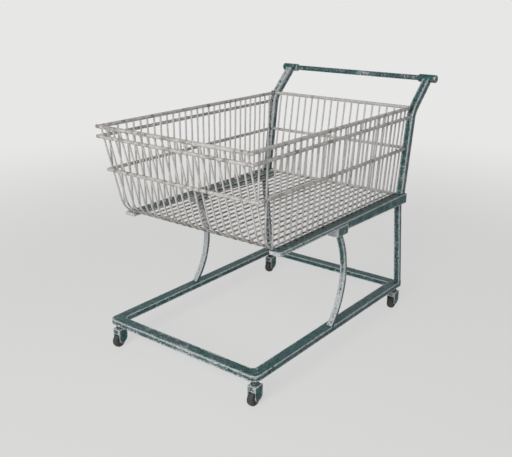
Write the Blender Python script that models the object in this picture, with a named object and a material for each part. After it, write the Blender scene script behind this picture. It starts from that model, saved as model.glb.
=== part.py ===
"""Worn shopping cart: a wire basket on a tube frame that rolls on four swivel casters.

Metres, +Z up, front of the cart towards -Y, handle towards +Y. The origin lies on the ground
under the middle of the cart's length and width.
"""
import math

import bmesh
import bpy
import numpy as np
from mathutils import Vector

# Clearances

GAP = 0.0003
SWIVEL_CLEARANCE = 0.0004
WHEEL_SIDE_CLEARANCE = 0.0006

# The basket's floor width sets the width of everything that carries it

BASKET_FLOOR_HALF_WIDTH = 0.3055

# Chassis of flat tube

CHASSIS_INSIDE_RAIL = 0.005
CHASSIS_FRONT_Y = -0.549
CHASSIS_REAR_Y = 0.4045
CHASSIS_TUBE_WIDTH = 0.040
CHASSIS_TUBE_HEIGHT = 0.020
CHASSIS_BOTTOM_Z = 0.093
CHASSIS_OUTER_CORNER_RADIUS = 0.025
CHASSIS_INNER_CORNER_RADIUS = 0.018
CHASSIS_CORNER_STEPS = 6
TUBE_CHAMFER = 0.002

# Rails that carry the basket

RAIL_WIDTH = 0.042
RAIL_OUTSIDE_BASKET = 0.0355
RAIL_TOP_Z = 0.488
RAIL_FRONT_Y = -0.4365
RAIL_REAR_Y = 0.390
RAIL_FRONT_DEPTH = 0.012
RAIL_STEP_DEPTH = 0.028
RAIL_REAR_DEPTH = 0.037
PLATE_CHAMFER = 0.0015

# Brackets under the rails and the bowed struts below them

BRACKET_FRONT_Y = -0.107
BRACKET_LENGTH = 0.065
BRACKET_DEPTH = 0.043
STRUT_WIDTH = 0.021
STRUT_DEPTH = 0.013
STRUT_INSIDE_RAIL = 0.019
STRUT_BOW_RADIUS = 0.264
STRUT_BOW_CENTRE_Y = -0.3017
STRUT_BOW_CENTRE_Z = 0.301
STRUT_STEPS = 14

# Rear posts between the chassis and the rails

POST_WIDTH = 0.024
POST_DEPTH = 0.015
POST_INSIDE_RAIL = 0.006
POST_FOOT_Y = 0.3885
POST_HEAD_Y = 0.3475

# Uprights and push bar

UPRIGHT_WIDTH = 0.025
UPRIGHT_DEPTH = 0.028
UPRIGHT_INSIDE_RAIL = 0.007
UPRIGHT_FOOT_Y = 0.3735
UPRIGHT_KNEE_Y = 0.421
UPRIGHT_KNEE_Z = 0.797
UPRIGHT_KNEE_RADIUS = 0.080
UPRIGHT_KNEE_STEPS = 5
BAR_RADIUS = 0.010
BAR_Y = 0.541
BAR_Z = 0.909
SOCKET_RADIUS = 0.015
SOCKET_LENGTH = 0.0675
BAR_OUTSIDE_UPRIGHT = 0.0195
END_CAP_THICKNESS = 0.0055
END_CAP_PROFILE = ((1.0, 0.0), (1.0, 0.35), (0.88, 0.75), (0.62, 1.0))
BAR_SIDES = 20

# Basket wires and rods

WIRE_RADIUS = 0.0032
WIRE_SIDES = 6
RIM_RADIUS = 0.0064
RING_RADIUS = 0.0059
ROD_SIDES = 8
ROD_TIP_LENGTH = 0.45
ROD_TIP_SCALE = 0.62
WELD_SINK = 0.0012
BASKET_RIM_Z = 0.8123
BASKET_FRONT_Y = -0.5496
RIM_OUTSIDE_FLOOR = 0.0115
RIM_WIRE_OFFSET = 0.0015
RIM_ROD_OUTSIDE_RIM = 0.013
UPPER_RING_Z = 0.779
UPPER_RING_OUTSIDE_RIM = 0.014
LOWER_RING_Z = 0.6614
LOWER_RING_OUTSIDE_RIM = 0.007

FRONT_LEAN = 0.26
FRONT_BEND_RADIUS = 0.095
FRONT_BEND_STEPS = 7
LENGTHWISE_INSIDE_FLOOR = 0.0229
LENGTHWISE_SIDE_COUNT = 9
CORNER_PITCH = 0.0251

FIRST_FOOT_Y = -0.4295
FOOT_PITCH = 0.0311
SIDE_WIRE_COUNT = 26
SIDE_REAR_LEAN = 0.091
CORNER_WIRE_PITCH = 0.0385
CORNER_WIRE_COUNT = 2
CORNER_FOOT_CLEARANCE = 0.0015

REAR_FLOOR_ROD_Y = 0.3653
REAR_LEAN = 0.157
REAR_WIRE_LIFT = 0.0006

# Swivel casters

CASTER_INSIDE_TUBE = 0.004
FRONT_CASTER_Y = -0.5221
REAR_CASTER_Y = 0.388
WHEEL_RADIUS = 0.0245
WHEEL_WIDTH = 0.022
TYRE_THICKNESS = 0.007
TYRE_SHOULDER = 0.004
WHEEL_SIDES = 32
CASTER_TRAIL = 0.0085
FORK_TOP_Z = 0.071
FORK_LENGTH = 0.038
FORK_PLATE = 0.003
FORK_WHEEL_CLEARANCE = 0.002
FORK_WEB_HEIGHT = 0.0205
FORK_SHOULDER_Z = 0.041
FORK_TIP_Z = 0.0155
FORK_TIP_BEHIND_FRONT = 0.014
FORK_TIP_STEPS = 8
AXLE_RADIUS = 0.004
AXLE_HEAD_RADIUS = 0.0055
AXLE_HEAD_THICKNESS = 0.0015
KINGPIN_RADIUS = 0.006
KINGPIN_HEAD_RADIUS = 0.010
KINGPIN_HEAD_THICKNESS = 0.003
SWIVEL_COLLAR_RADIUS = 0.014
PIN_SIDES = 16

# Angles above which an edge stays sharp

SHARP_ANGLE = 0.7
SHARP_ANGLE_OF_WIRE = 1.1

# Places that follow from the sizes above

RAIL_OUTER_X = BASKET_FLOOR_HALF_WIDTH + RAIL_OUTSIDE_BASKET
CHASSIS_HALF_WIDTH = RAIL_OUTER_X - CHASSIS_INSIDE_RAIL
STRUT_CENTRE_X = RAIL_OUTER_X - STRUT_INSIDE_RAIL
POST_OUTER_X = RAIL_OUTER_X - POST_INSIDE_RAIL
UPRIGHT_OUTER_X = RAIL_OUTER_X - UPRIGHT_INSIDE_RAIL
BAR_END_X = UPRIGHT_OUTER_X + BAR_OUTSIDE_UPRIGHT
SOCKET_INNER_X = BAR_END_X - SOCKET_LENGTH
BASKET_RIM_HALF_WIDTH = BASKET_FLOOR_HALF_WIDTH + RIM_OUTSIDE_FLOOR
RIM_ROD_END_X = BASKET_RIM_HALF_WIDTH + RIM_ROD_OUTSIDE_RIM
UPPER_RING_END_X = BASKET_RIM_HALF_WIDTH + UPPER_RING_OUTSIDE_RIM
LOWER_RING_END_X = BASKET_RIM_HALF_WIDTH + LOWER_RING_OUTSIDE_RIM
LENGTHWISE_PITCH = (BASKET_FLOOR_HALF_WIDTH - LENGTHWISE_INSIDE_FLOOR) / LENGTHWISE_SIDE_COUNT
CHASSIS_TOP_Z = CHASSIS_BOTTOM_Z + CHASSIS_TUBE_HEIGHT
CHASSIS_TUBE_X = CHASSIS_HALF_WIDTH - CHASSIS_TUBE_WIDTH / 2
CASTER_X = CHASSIS_TUBE_X - CASTER_INSIDE_TUBE
RAIL_INNER_X = RAIL_OUTER_X - RAIL_WIDTH
BRACKET_REAR_Y = BRACKET_FRONT_Y + BRACKET_LENGTH
SIDE_FOOT_Z = RAIL_TOP_Z + GAP + WIRE_RADIUS
LENGTH_WIRE_Z = SIDE_FOOT_Z - 2 * WIRE_RADIUS - GAP
RING_OFFSET = RING_RADIUS + WIRE_RADIUS + GAP
FLOOR_ROD_END_X = RAIL_INNER_X - GAP
BASKET_WIRE_FRONT_Y = BASKET_FRONT_Y + RIM_WIRE_OFFSET
FORK_HALF_WIDTH = WHEEL_WIDTH / 2 + WHEEL_SIDE_CLEARANCE + FORK_WHEEL_CLEARANCE + FORK_PLATE
SIDES = {"right": 1, "left": -1}

MATERIALS = {
    "frame_paint": ((0.045, 0.125, 0.130), 0.45, 0.3),
    "basket_wire": ((0.560, 0.530, 0.500), 0.40, 0.7),
    "caster_paint": ((0.050, 0.135, 0.135), 0.45, 0.3),
    "caster_steel": ((0.080, 0.085, 0.085), 0.50, 0.8),
    "wheel_core": ((0.060, 0.060, 0.062), 0.55, 0.0),
    "wheel_rubber": ((0.035, 0.035, 0.036), 0.75, 0.0),
}


def clear_scene():
    """Remove whatever the scene holds."""
    for item in list(bpy.data.objects):
        bpy.data.objects.remove(item)


def material(name):
    """Principled material of that name, made once."""
    if name in bpy.data.materials:
        return bpy.data.materials[name]
    colour, roughness, metallic = MATERIALS[name]
    made = bpy.data.materials.new(name)
    made.use_nodes = True
    shader = made.node_tree.nodes["Principled BSDF"]
    shader.inputs["Base Color"].default_value = (*colour, 1.0)
    shader.inputs["Roughness"].default_value = roughness
    shader.inputs["Metallic"].default_value = metallic
    return made


# Solids as pairs of corners and faces

def joined(solids):
    """Several separate solids as one pair of corners and faces."""
    corners = []
    faces = []
    for solid_corners, solid_faces in solids:
        start = len(corners)
        corners.extend(tuple(corner) for corner in solid_corners)
        faces.extend([start + index for index in face] for face in solid_faces)
    return corners, faces


def lofted(rings):
    """Closed solid through rings that hold the same number of corners each."""
    count = len(rings[0])
    corners = [tuple(corner) for ring in rings for corner in ring]
    faces = [list(range(count))]
    for level in range(len(rings) - 1):
        low = level * count
        for index in range(count):
            after = (index + 1) % count
            faces.append([low + index, low + after, low + count + after, low + count + index])
    last = (len(rings) - 1) * count
    faces.append([last + index for index in range(count)])
    return corners, faces


def ring_around(centre, across, up, outline):
    """Corners of an outline placed at a centre, along two unit directions."""
    return [Vector(centre) + u * across + v * up for u, v in outline]


def round_outline(radius, sides):
    """Regular polygon that stands for a circle."""
    angles = (2 * math.pi * (index + 0.5) / sides for index in range(sides))
    return [(radius * math.cos(angle), radius * math.sin(angle)) for angle in angles]


def tube_outline(width, height, chamfer):
    """Rectangle with its four corners cut off."""
    half_w = width / 2
    half_h = height / 2
    return [
        (half_w, half_h - chamfer), (half_w - chamfer, half_h),
        (chamfer - half_w, half_h), (-half_w, half_h - chamfer),
        (-half_w, chamfer - half_h), (chamfer - half_w, -half_h),
        (half_w - chamfer, -half_h), (half_w, chamfer - half_h),
    ]


def swept(path, across, outline, shrink=None):
    """Outline carried along a flat path, mitred at its bends. Across is square to the path."""
    points = [Vector(point) for point in path]
    steps = [(after - before).normalized() for before, after in zip(points, points[1:])]
    rings = []
    for index, point in enumerate(points):
        before = steps[max(index - 1, 0)]
        after = steps[min(index, len(steps) - 1)]
        along = (before + after).normalized()
        up = along.cross(across).normalized()
        stretch = 1.0 / along.dot(before)
        scale = 1.0 if shrink is None else shrink[index]
        shaped = [(u * scale, v * scale * stretch) for u, v in outline]
        rings.append(ring_around(point, across, up, shaped))
    return lofted(rings)


def wire(path, across):
    """Round basket wire along a flat path."""
    return swept(path, Vector(across), round_outline(WIRE_RADIUS, WIRE_SIDES))


def rod(start, end, radius):
    """Straight level rod with slightly rounded ends."""
    start = Vector(start)
    end = Vector(end)
    along = (end - start).normalized()
    tip = along * radius * ROD_TIP_LENGTH
    path = [start, start + tip, end - tip, end]
    shrink = [ROD_TIP_SCALE, 1.0, 1.0, ROD_TIP_SCALE]
    return swept(path, Vector((0, 0, 1)), round_outline(radius, ROD_SIDES), shrink)


def block(low, high):
    """Plain block between two corners."""
    (x0, y0, z0), (x1, y1, z1) = low, high
    rings = [[(x0, y0, z), (x1, y0, z), (x1, y1, z), (x0, y1, z)] for z in (z0, z1)]
    return lofted(rings)


def plate(outline, low_x, high_x):
    """Outline in the Y-Z plane, extruded along X."""
    return lofted([[(x, y, z) for y, z in outline] for x in (low_x, high_x)])


def turned(profile, centre, axis, sides):
    """Solid turned about the X or Z axis through centre, from (radius, along) pairs."""
    axis = Vector(axis)
    across = Vector((abs(axis.z), 0, abs(axis.x)))
    up = axis.cross(across)
    rings = []
    for radius, along in profile:
        rings.append(ring_around(Vector(centre) + axis * along, across, up, round_outline(radius, sides)))
    return lofted(rings)


def hoop(inner, outer, width, centre, axis, sides, shoulder=0.0):
    """Ring with a round hole, turned about the X or Z axis; its outer edges may be chamfered."""
    half = width / 2
    section = [
        (inner, -half), (outer - shoulder, -half), (outer, shoulder - half),
        (outer, half - shoulder), (outer - shoulder, half), (inner, half),
    ]
    if shoulder == 0.0:
        section = [(inner, -half), (outer, -half), (outer, half), (inner, half)]
    axis = Vector(axis)
    across = Vector((abs(axis.z), 0, abs(axis.x)))
    up = axis.cross(across)
    count = len(section)
    corners = []
    for step in range(sides):
        angle = 2 * math.pi * (step + 0.5) / sides
        outward = across * math.cos(angle) + up * math.sin(angle)
        corners.extend(tuple(Vector(centre) + outward * r + axis * a) for r, a in section)
    faces = []
    for step in range(sides):
        here = step * count
        there = ((step + 1) % sides) * count
        for index in range(count):
            after = (index + 1) % count
            faces.append([here + index, here + after, there + after, there + index])
    return corners, faces


# Objects

def mesh_object(name, solid, slot):
    """Object with its faces turned outwards."""
    mesh = bpy.data.meshes.new(name)
    mesh.from_pydata([tuple(corner) for corner in solid[0]], [], solid[1])
    shape = bmesh.new()
    shape.from_mesh(mesh)
    bmesh.ops.recalc_face_normals(shape, faces=shape.faces)
    shape.to_mesh(mesh)
    shape.free()
    mesh.materials.append(material(slot))
    made = bpy.data.objects.new(name, mesh)
    bpy.context.collection.objects.link(made)
    return made


def combined(base, other, operation):
    """Apply a Boolean of one object with another, and remove the other."""
    modifier = base.modifiers.new("Join", 'BOOLEAN')
    modifier.operation = operation
    modifier.solver = 'EXACT'
    modifier.object = other
    graph = bpy.context.evaluated_depsgraph_get()
    result = bpy.data.meshes.new_from_object(base.evaluated_get(graph))
    base.modifiers.remove(modifier)
    base.data = result
    bpy.data.objects.remove(other)
    return base


def welded(name, first, second, slot):
    """One closed body from two groups of solids that meet."""
    base = mesh_object(name, joined(first), slot)
    return combined(base, mesh_object(name + "_join", joined(second), slot), 'UNION')


def cut(base, cutters, slot):
    """Base with the cutters' space taken out."""
    return combined(base, mesh_object(base.name + "_cut", joined(cutters), slot), 'DIFFERENCE')


def smooth(made, angle=SHARP_ANGLE):
    """Shade the round parts smooth and keep the edges sharp."""
    made.data.shade_smooth()
    made.data.set_sharp_from_angle(angle=angle)
    return made


def placed(made, location):
    """Move an object's origin to a point while its shape stays where it is."""
    shift = Vector(location)
    for vertex in made.data.vertices:
        vertex.co -= shift
    made.location = shift
    return made


# Surfaces of the basket

def wall_x(z):
    """Distance of the side wires from the middle plane at a height."""
    share = (z - SIDE_FOOT_Z) / (BASKET_RIM_Z - SIDE_FOOT_Z)
    return BASKET_FLOOR_HALF_WIDTH + share * (BASKET_RIM_HALF_WIDTH - BASKET_FLOOR_HALF_WIDTH)


def front_y(z):
    """Place of the front wires at a height above their bend."""
    return BASKET_WIRE_FRONT_Y + FRONT_LEAN * (BASKET_RIM_Z - z)


def rear_y(z):
    """Place of the rear wires at a height."""
    return REAR_FLOOR_ROD_Y + REAR_LEAN * (z - LENGTH_WIRE_Z)


def upright_line():
    """Centre line of an upright in the Y-Z plane, from the rail to the push bar."""
    foot = Vector((0, UPRIGHT_FOOT_Y, RAIL_TOP_Z + GAP))
    knee = Vector((0, UPRIGHT_KNEE_Y, UPRIGHT_KNEE_Z))
    bar = Vector((0, BAR_Y, BAR_Z))
    below = (knee - foot).normalized()
    above = (bar - knee).normalized()
    turn = below.angle(above)
    reach = UPRIGHT_KNEE_RADIUS * math.tan(turn / 2)
    start = knee - below * reach
    inward = (above - below * above.dot(below)).normalized()
    centre = start + inward * UPRIGHT_KNEE_RADIUS
    points = [foot]
    for step in range(UPRIGHT_KNEE_STEPS + 1):
        angle = turn * step / UPRIGHT_KNEE_STEPS
        offset = below * math.sin(angle) - inward * math.cos(angle)
        points.append(centre + offset * UPRIGHT_KNEE_RADIUS)
    points.append(bar - above * (SOCKET_RADIUS + GAP))
    return points


def upright_front_y(z):
    """Front face of the straight part of the uprights at a height."""
    rise = (UPRIGHT_KNEE_Y - UPRIGHT_FOOT_Y) / (UPRIGHT_KNEE_Z - RAIL_TOP_Z)
    half = UPRIGHT_DEPTH / 2 * math.hypot(1, rise)
    return UPRIGHT_FOOT_Y + rise * (z - RAIL_TOP_Z) - half


# Frame

def chassis_edge(inset, radius):
    """Line along the bent tube at a distance inside its outer face, round both front corners."""
    reach = CHASSIS_HALF_WIDTH - inset
    front = CHASSIS_FRONT_Y + inset
    points = [Vector((-reach, CHASSIS_REAR_Y, 0))]
    for side, start in ((-1, math.pi), (1, 1.5 * math.pi)):
        centre = Vector((side * (reach - radius), front + radius, 0))
        for step in range(CHASSIS_CORNER_STEPS + 1):
            angle = start + math.pi / 2 * step / CHASSIS_CORNER_STEPS
            points.append(centre + Vector((math.cos(angle), math.sin(angle), 0)) * radius)
    points.append(Vector((reach, CHASSIS_REAR_Y, 0)))
    return points


def make_chassis():
    """Tube bent to a U, open towards the rear, and the bar across its back."""
    z = CHASSIS_BOTTOM_Z + CHASSIS_TUBE_HEIGHT / 2
    outer_edge = chassis_edge(0.0, CHASSIS_OUTER_CORNER_RADIUS)
    inner_edge = chassis_edge(CHASSIS_TUBE_WIDTH, CHASSIS_INNER_CORNER_RADIUS)
    rings = []
    for outer, inner in zip(outer_edge, inner_edge):
        middle = (outer + inner) / 2
        outline = tube_outline(CHASSIS_TUBE_HEIGHT, (outer - inner).length, TUBE_CHAMFER)
        outward = (outer - inner).normalized()
        rings.append(ring_around((middle.x, middle.y, z), Vector((0, 0, 1)), outward, outline))
    mesh_object("chassis_tube", lofted(rings), "frame_paint")
    outline = tube_outline(CHASSIS_TUBE_HEIGHT, CHASSIS_TUBE_WIDTH, TUBE_CHAMFER)
    reach = CHASSIS_HALF_WIDTH - CHASSIS_TUBE_WIDTH - GAP
    y = CHASSIS_REAR_Y - CHASSIS_TUBE_WIDTH / 2
    bar = swept([(-reach, y, z), (reach, y, z)], Vector((0, 0, 1)), outline)
    mesh_object("chassis_rear_bar", bar, "frame_paint")


def rail_bottom(y):
    """Underside of the deep rear part of a rail."""
    start = BRACKET_REAR_Y + GAP
    share = (y - start) / (RAIL_REAR_Y - start)
    return RAIL_TOP_Z - RAIL_STEP_DEPTH - share * (RAIL_REAR_DEPTH - RAIL_STEP_DEPTH)


def chamfered(made, width):
    """Chamfer an object's edges."""
    bevel = made.modifiers.new("Chamfer", 'BEVEL')
    bevel.width = width
    bevel.segments = 1
    bevel.limit_method = 'ANGLE'
    return made


def make_rail(name, side):
    """Flat rail, thin in front of the bracket and deeper behind it."""
    thin_z = RAIL_TOP_Z - RAIL_FRONT_DEPTH
    step_y = BRACKET_REAR_Y + GAP
    outline = [
        (RAIL_FRONT_Y, RAIL_TOP_Z), (RAIL_FRONT_Y, thin_z), (step_y, thin_z),
        (step_y, rail_bottom(step_y)), (RAIL_REAR_Y, rail_bottom(RAIL_REAR_Y)), (RAIL_REAR_Y, RAIL_TOP_Z),
    ]
    solid = plate(outline, side * RAIL_INNER_X, side * RAIL_OUTER_X)
    chamfered(mesh_object("rail_" + name, solid, "frame_paint"), PLATE_CHAMFER)


def make_bracket(name, side):
    """Block under the thin part of the rail, on top of the strut."""
    top = RAIL_TOP_Z - RAIL_FRONT_DEPTH - GAP
    bottom = RAIL_TOP_Z - BRACKET_DEPTH
    xs = sorted((side * RAIL_INNER_X, side * RAIL_OUTER_X))
    solid = block((xs[0], BRACKET_FRONT_Y, bottom), (xs[1], BRACKET_REAR_Y, top))
    chamfered(mesh_object("strut_bracket_" + name, solid, "frame_paint"), PLATE_CHAMFER)


def make_strut(name, side):
    """Flat strut bowed backwards along an arc, cut level at both ends."""
    low = CHASSIS_TOP_Z + GAP
    high = RAIL_TOP_Z - BRACKET_DEPTH - GAP
    rings = []
    for step in range(STRUT_STEPS + 1):
        z = low + (high - low) * step / STRUT_STEPS
        rise = z - STRUT_BOW_CENTRE_Z
        front = STRUT_BOW_CENTRE_Y + math.sqrt(STRUT_BOW_RADIUS ** 2 - rise ** 2)
        back = STRUT_BOW_CENTRE_Y + math.sqrt((STRUT_BOW_RADIUS + STRUT_DEPTH) ** 2 - rise ** 2)
        outline = tube_outline(STRUT_WIDTH, back - front, TUBE_CHAMFER)
        centre = (side * STRUT_CENTRE_X, (front + back) / 2, z)
        rings.append(ring_around(centre, Vector((1, 0, 0)), Vector((0, 1, 0)), outline))
    mesh_object("strut_" + name, lofted(rings), "frame_paint")


def make_post(name, side):
    """Flat post that leans forward from the back of the chassis up to the rail."""
    centre_x = side * (POST_OUTER_X - POST_WIDTH / 2)
    foot_y = POST_FOOT_Y + POST_DEPTH / 2
    head_y = POST_HEAD_Y + POST_DEPTH / 2
    outline = tube_outline(POST_WIDTH, POST_DEPTH, TUBE_CHAMFER)
    foot = (centre_x, foot_y, CHASSIS_TOP_Z + GAP)
    bottom = ring_around(foot, Vector((1, 0, 0)), Vector((0, 1, 0)), outline)
    top = [(corner.x, corner.y + head_y - foot_y, rail_bottom(corner.y + head_y - foot_y) - GAP)
           for corner in bottom]
    mesh_object("rear_post_" + name, lofted([bottom, top]), "frame_paint")


def make_upright(name, side):
    """Tube from the back of the rail, past the rim and back to the push bar."""
    centre_x = side * (UPRIGHT_OUTER_X - UPRIGHT_WIDTH / 2)
    points = upright_line()
    for point in points:
        point.x = centre_x
    outline = tube_outline(UPRIGHT_WIDTH, UPRIGHT_DEPTH, TUBE_CHAMFER)
    corners, faces = swept(points, Vector((1, 0, 0)), outline)
    level = [(x, y, RAIL_TOP_Z + GAP) for x, y, z in corners[:len(outline)]]
    mesh_object("upright_" + name, (level + corners[len(outline):], faces), "frame_paint")


def make_push_bar():
    """Round bar across the back, in a thicker socket and an end cap at each end."""
    centre = (0, BAR_Y, BAR_Z)
    profile = [(BAR_RADIUS, -BAR_END_X), (BAR_RADIUS, BAR_END_X)]
    smooth(mesh_object("push_bar", turned(profile, centre, (1, 0, 0), BAR_SIDES), "frame_paint"))
    for name, side in SIDES.items():
        middle = (side * (SOCKET_INNER_X + BAR_END_X) / 2, BAR_Y, BAR_Z)
        socket = hoop(BAR_RADIUS + GAP, SOCKET_RADIUS, BAR_END_X - SOCKET_INNER_X, middle,
                      (1, 0, 0), BAR_SIDES, TUBE_CHAMFER)
        smooth(mesh_object("bar_socket_" + name, socket, "frame_paint"))
        start = BAR_END_X + GAP
        profile = [(SOCKET_RADIUS * across, start + END_CAP_THICKNESS * along)
                   for across, along in END_CAP_PROFILE]
        cap = turned(profile, centre, (side, 0, 0), BAR_SIDES)
        smooth(mesh_object("bar_end_cap_" + name, cap, "frame_paint"))


# Basket

def side_wire(y_foot, lean, z_foot, side):
    """Upright wire of a side wall, from its foot into the rim rod."""
    ends = []
    for z in (z_foot, BASKET_RIM_Z):
        ends.append((side * wall_x(z), y_foot + lean * (z - z_foot), z))
    return wire(ends, (1, 0, 0))


def make_side_wall(name, side):
    """Side wall: upright wires welded into the side's rim rod."""
    wires = []
    for index in range(SIDE_WIRE_COUNT):
        y = FIRST_FOOT_Y + FOOT_PITCH * index
        lean = SIDE_REAR_LEAN * index / (SIDE_WIRE_COUNT - 1)
        wires.append(side_wire(y, lean, RAIL_TOP_Z + GAP, side))
    for index in range(1, CORNER_WIRE_COUNT + 1):
        y = FIRST_FOOT_Y - CORNER_WIRE_PITCH * index
        wires.append(side_wire(y, 0.0, corner_foot_z(y), side))
    x = side * (BASKET_RIM_HALF_WIDTH + RIM_WIRE_OFFSET)
    start = BASKET_WIRE_FRONT_Y + RIM_WIRE_OFFSET + WIRE_RADIUS + 2 * GAP
    end = upright_front_y(BASKET_RIM_Z - RIM_RADIUS) - GAP
    rim = rod((x, start, BASKET_RIM_Z), (x, end, BASKET_RIM_Z), RIM_RADIUS)
    smooth(welded("side_wall_" + name, wires, [rim], "basket_wire"), SHARP_ANGLE_OF_WIRE)


def front_wire_line():
    """Front wire's line in the Y-Z plane: down the front and round the bend, with its bend centre."""
    lean = math.atan(FRONT_LEAN)
    centre_z = LENGTH_WIRE_Z + FRONT_BEND_RADIUS
    start_z = centre_z - FRONT_BEND_RADIUS * math.sin(lean)
    centre_y = front_y(start_z) + FRONT_BEND_RADIUS * math.cos(lean)
    line = [(BASKET_WIRE_FRONT_Y, BASKET_RIM_Z)]
    for step in range(FRONT_BEND_STEPS + 1):
        angle = lean + (math.pi / 2 - lean) * step / FRONT_BEND_STEPS
        line.append((centre_y - FRONT_BEND_RADIUS * math.cos(angle),
                     centre_z - FRONT_BEND_RADIUS * math.sin(angle)))
    return line


def bend_height(y):
    """Height of the front wires where they pass a place along the cart."""
    line = front_wire_line()
    return float(np.interp(y, [point[0] for point in line], [point[1] for point in line]))


def corner_foot_z(y):
    """Height at which an upright wire ends just above the bent wire at the corner."""
    slope = (bend_height(y - WIRE_RADIUS) - bend_height(y + WIRE_RADIUS)) / (2 * WIRE_RADIUS)
    return bend_height(y) + WIRE_RADIUS * (slope + math.hypot(1, slope)) + CORNER_FOOT_CLEARANCE


def lengthwise_places():
    """Places across the cart of the wires that run along it."""
    return [LENGTHWISE_PITCH * index for index in range(-LENGTHWISE_SIDE_COUNT, LENGTHWISE_SIDE_COUNT + 1)]


def make_front_wall():
    """Front wall: wires that bend under the basket, with the front rim rod and a wire across the bend."""
    line = front_wire_line()
    wires = [wire([(x, y, z) for y, z in line], (1, 0, 0)) for x in lengthwise_places()]
    rail_clear_z = RAIL_TOP_Z + GAP + WIRE_RADIUS
    corner = [(y, z) for y, z in line if z > rail_clear_z + WIRE_RADIUS]
    corner_x = LENGTHWISE_PITCH * LENGTHWISE_SIDE_COUNT + CORNER_PITCH
    for side in SIDES.values():
        wires.append(wire([(side * corner_x, y, z) for y, z in corner], (1, 0, 0)))
    rim = rod((-RIM_ROD_END_X, BASKET_FRONT_Y, BASKET_RIM_Z), (RIM_ROD_END_X, BASKET_FRONT_Y, BASKET_RIM_Z),
              RIM_RADIUS)
    cross_z = bend_height(FIRST_FOOT_Y) + 2 * WIRE_RADIUS - WELD_SINK
    cross = wire([(-FLOOR_ROD_END_X, FIRST_FOOT_Y, cross_z), (FLOOR_ROD_END_X, FIRST_FOOT_Y, cross_z)], (0, 0, 1))
    smooth(welded("front_wall", wires, [rim, cross], "basket_wire"), SHARP_ANGLE_OF_WIRE)


def make_floor():
    """Floor: wires along the cart in a comb at the rear rod."""
    start = front_wire_line()[-1][0] + GAP
    along = [wire([(x, start, LENGTH_WIRE_Z), (x, REAR_FLOOR_ROD_Y, LENGTH_WIRE_Z)], (1, 0, 0))
             for x in lengthwise_places()]
    back = rod((-FLOOR_ROD_END_X, REAR_FLOOR_ROD_Y, LENGTH_WIRE_Z),
               (FLOOR_ROD_END_X, REAR_FLOOR_ROD_Y, LENGTH_WIRE_Z), RING_RADIUS)
    smooth(welded("floor_lengthwise", along, [back], "basket_wire"), SHARP_ANGLE_OF_WIRE)


def make_rear_wall():
    """Rear wall: upright wires between the uprights, with a top rod and a middle rod."""
    foot = LENGTH_WIRE_Z + RING_RADIUS + GAP + REAR_WIRE_LIFT
    wires = [wire([(x, rear_y(foot), foot), (x, rear_y(BASKET_RIM_Z), BASKET_RIM_Z)], (1, 0, 0))
             for x in lengthwise_places()]
    reach = UPRIGHT_OUTER_X - UPRIGHT_WIDTH - GAP
    top_y = rear_y(BASKET_RIM_Z) + RIM_WIRE_OFFSET
    top = rod((-reach, top_y, BASKET_RIM_Z), (reach, top_y, BASKET_RIM_Z), RIM_RADIUS)
    middle_y = rear_y(LOWER_RING_Z) + RING_RADIUS + WIRE_RADIUS - WELD_SINK
    middle = rod((-reach, middle_y, LOWER_RING_Z), (reach, middle_y, LOWER_RING_Z), RING_RADIUS)
    smooth(welded("rear_wall", wires, [top, middle], "basket_wire"), SHARP_ANGLE_OF_WIRE)


def make_ring(name, z, end_x):
    """Rods round the outside of the basket's front and sides at one height."""
    y = front_y(z) - RING_OFFSET
    front = rod((-end_x, y, z), (end_x, y, z), RING_RADIUS)
    smooth(mesh_object(name + "_rod_front", front, "basket_wire"), SHARP_ANGLE_OF_WIRE)
    for side_name, side in SIDES.items():
        x = side * (wall_x(z) + RING_OFFSET)
        start = (x, y + RING_RADIUS + GAP, z)
        end = (x, upright_front_y(z - RING_RADIUS) - GAP, z)
        side_rod = mesh_object(name + "_rod_" + side_name, rod(start, end, RING_RADIUS), "basket_wire")
        smooth(side_rod, SHARP_ANGLE_OF_WIRE)


# Casters

def fork_outline(y_front):
    """Side plate of a caster fork: straight edges down to its shoulders, then a rounded end."""
    tip_y = y_front + FORK_TIP_BEHIND_FRONT
    outline = [(y_front + FORK_LENGTH, FORK_TOP_Z), (y_front, FORK_TOP_Z)]
    for step in range(FORK_TIP_STEPS + 1):
        angle = math.pi + math.pi * step / FORK_TIP_STEPS
        reach = FORK_TIP_BEHIND_FRONT if math.cos(angle) < 0 else FORK_LENGTH - FORK_TIP_BEHIND_FRONT
        outline.append((tip_y + reach * math.cos(angle),
                        FORK_SHOULDER_Z + (FORK_SHOULDER_Z - FORK_TIP_Z) * math.sin(angle)))
    return outline


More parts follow.
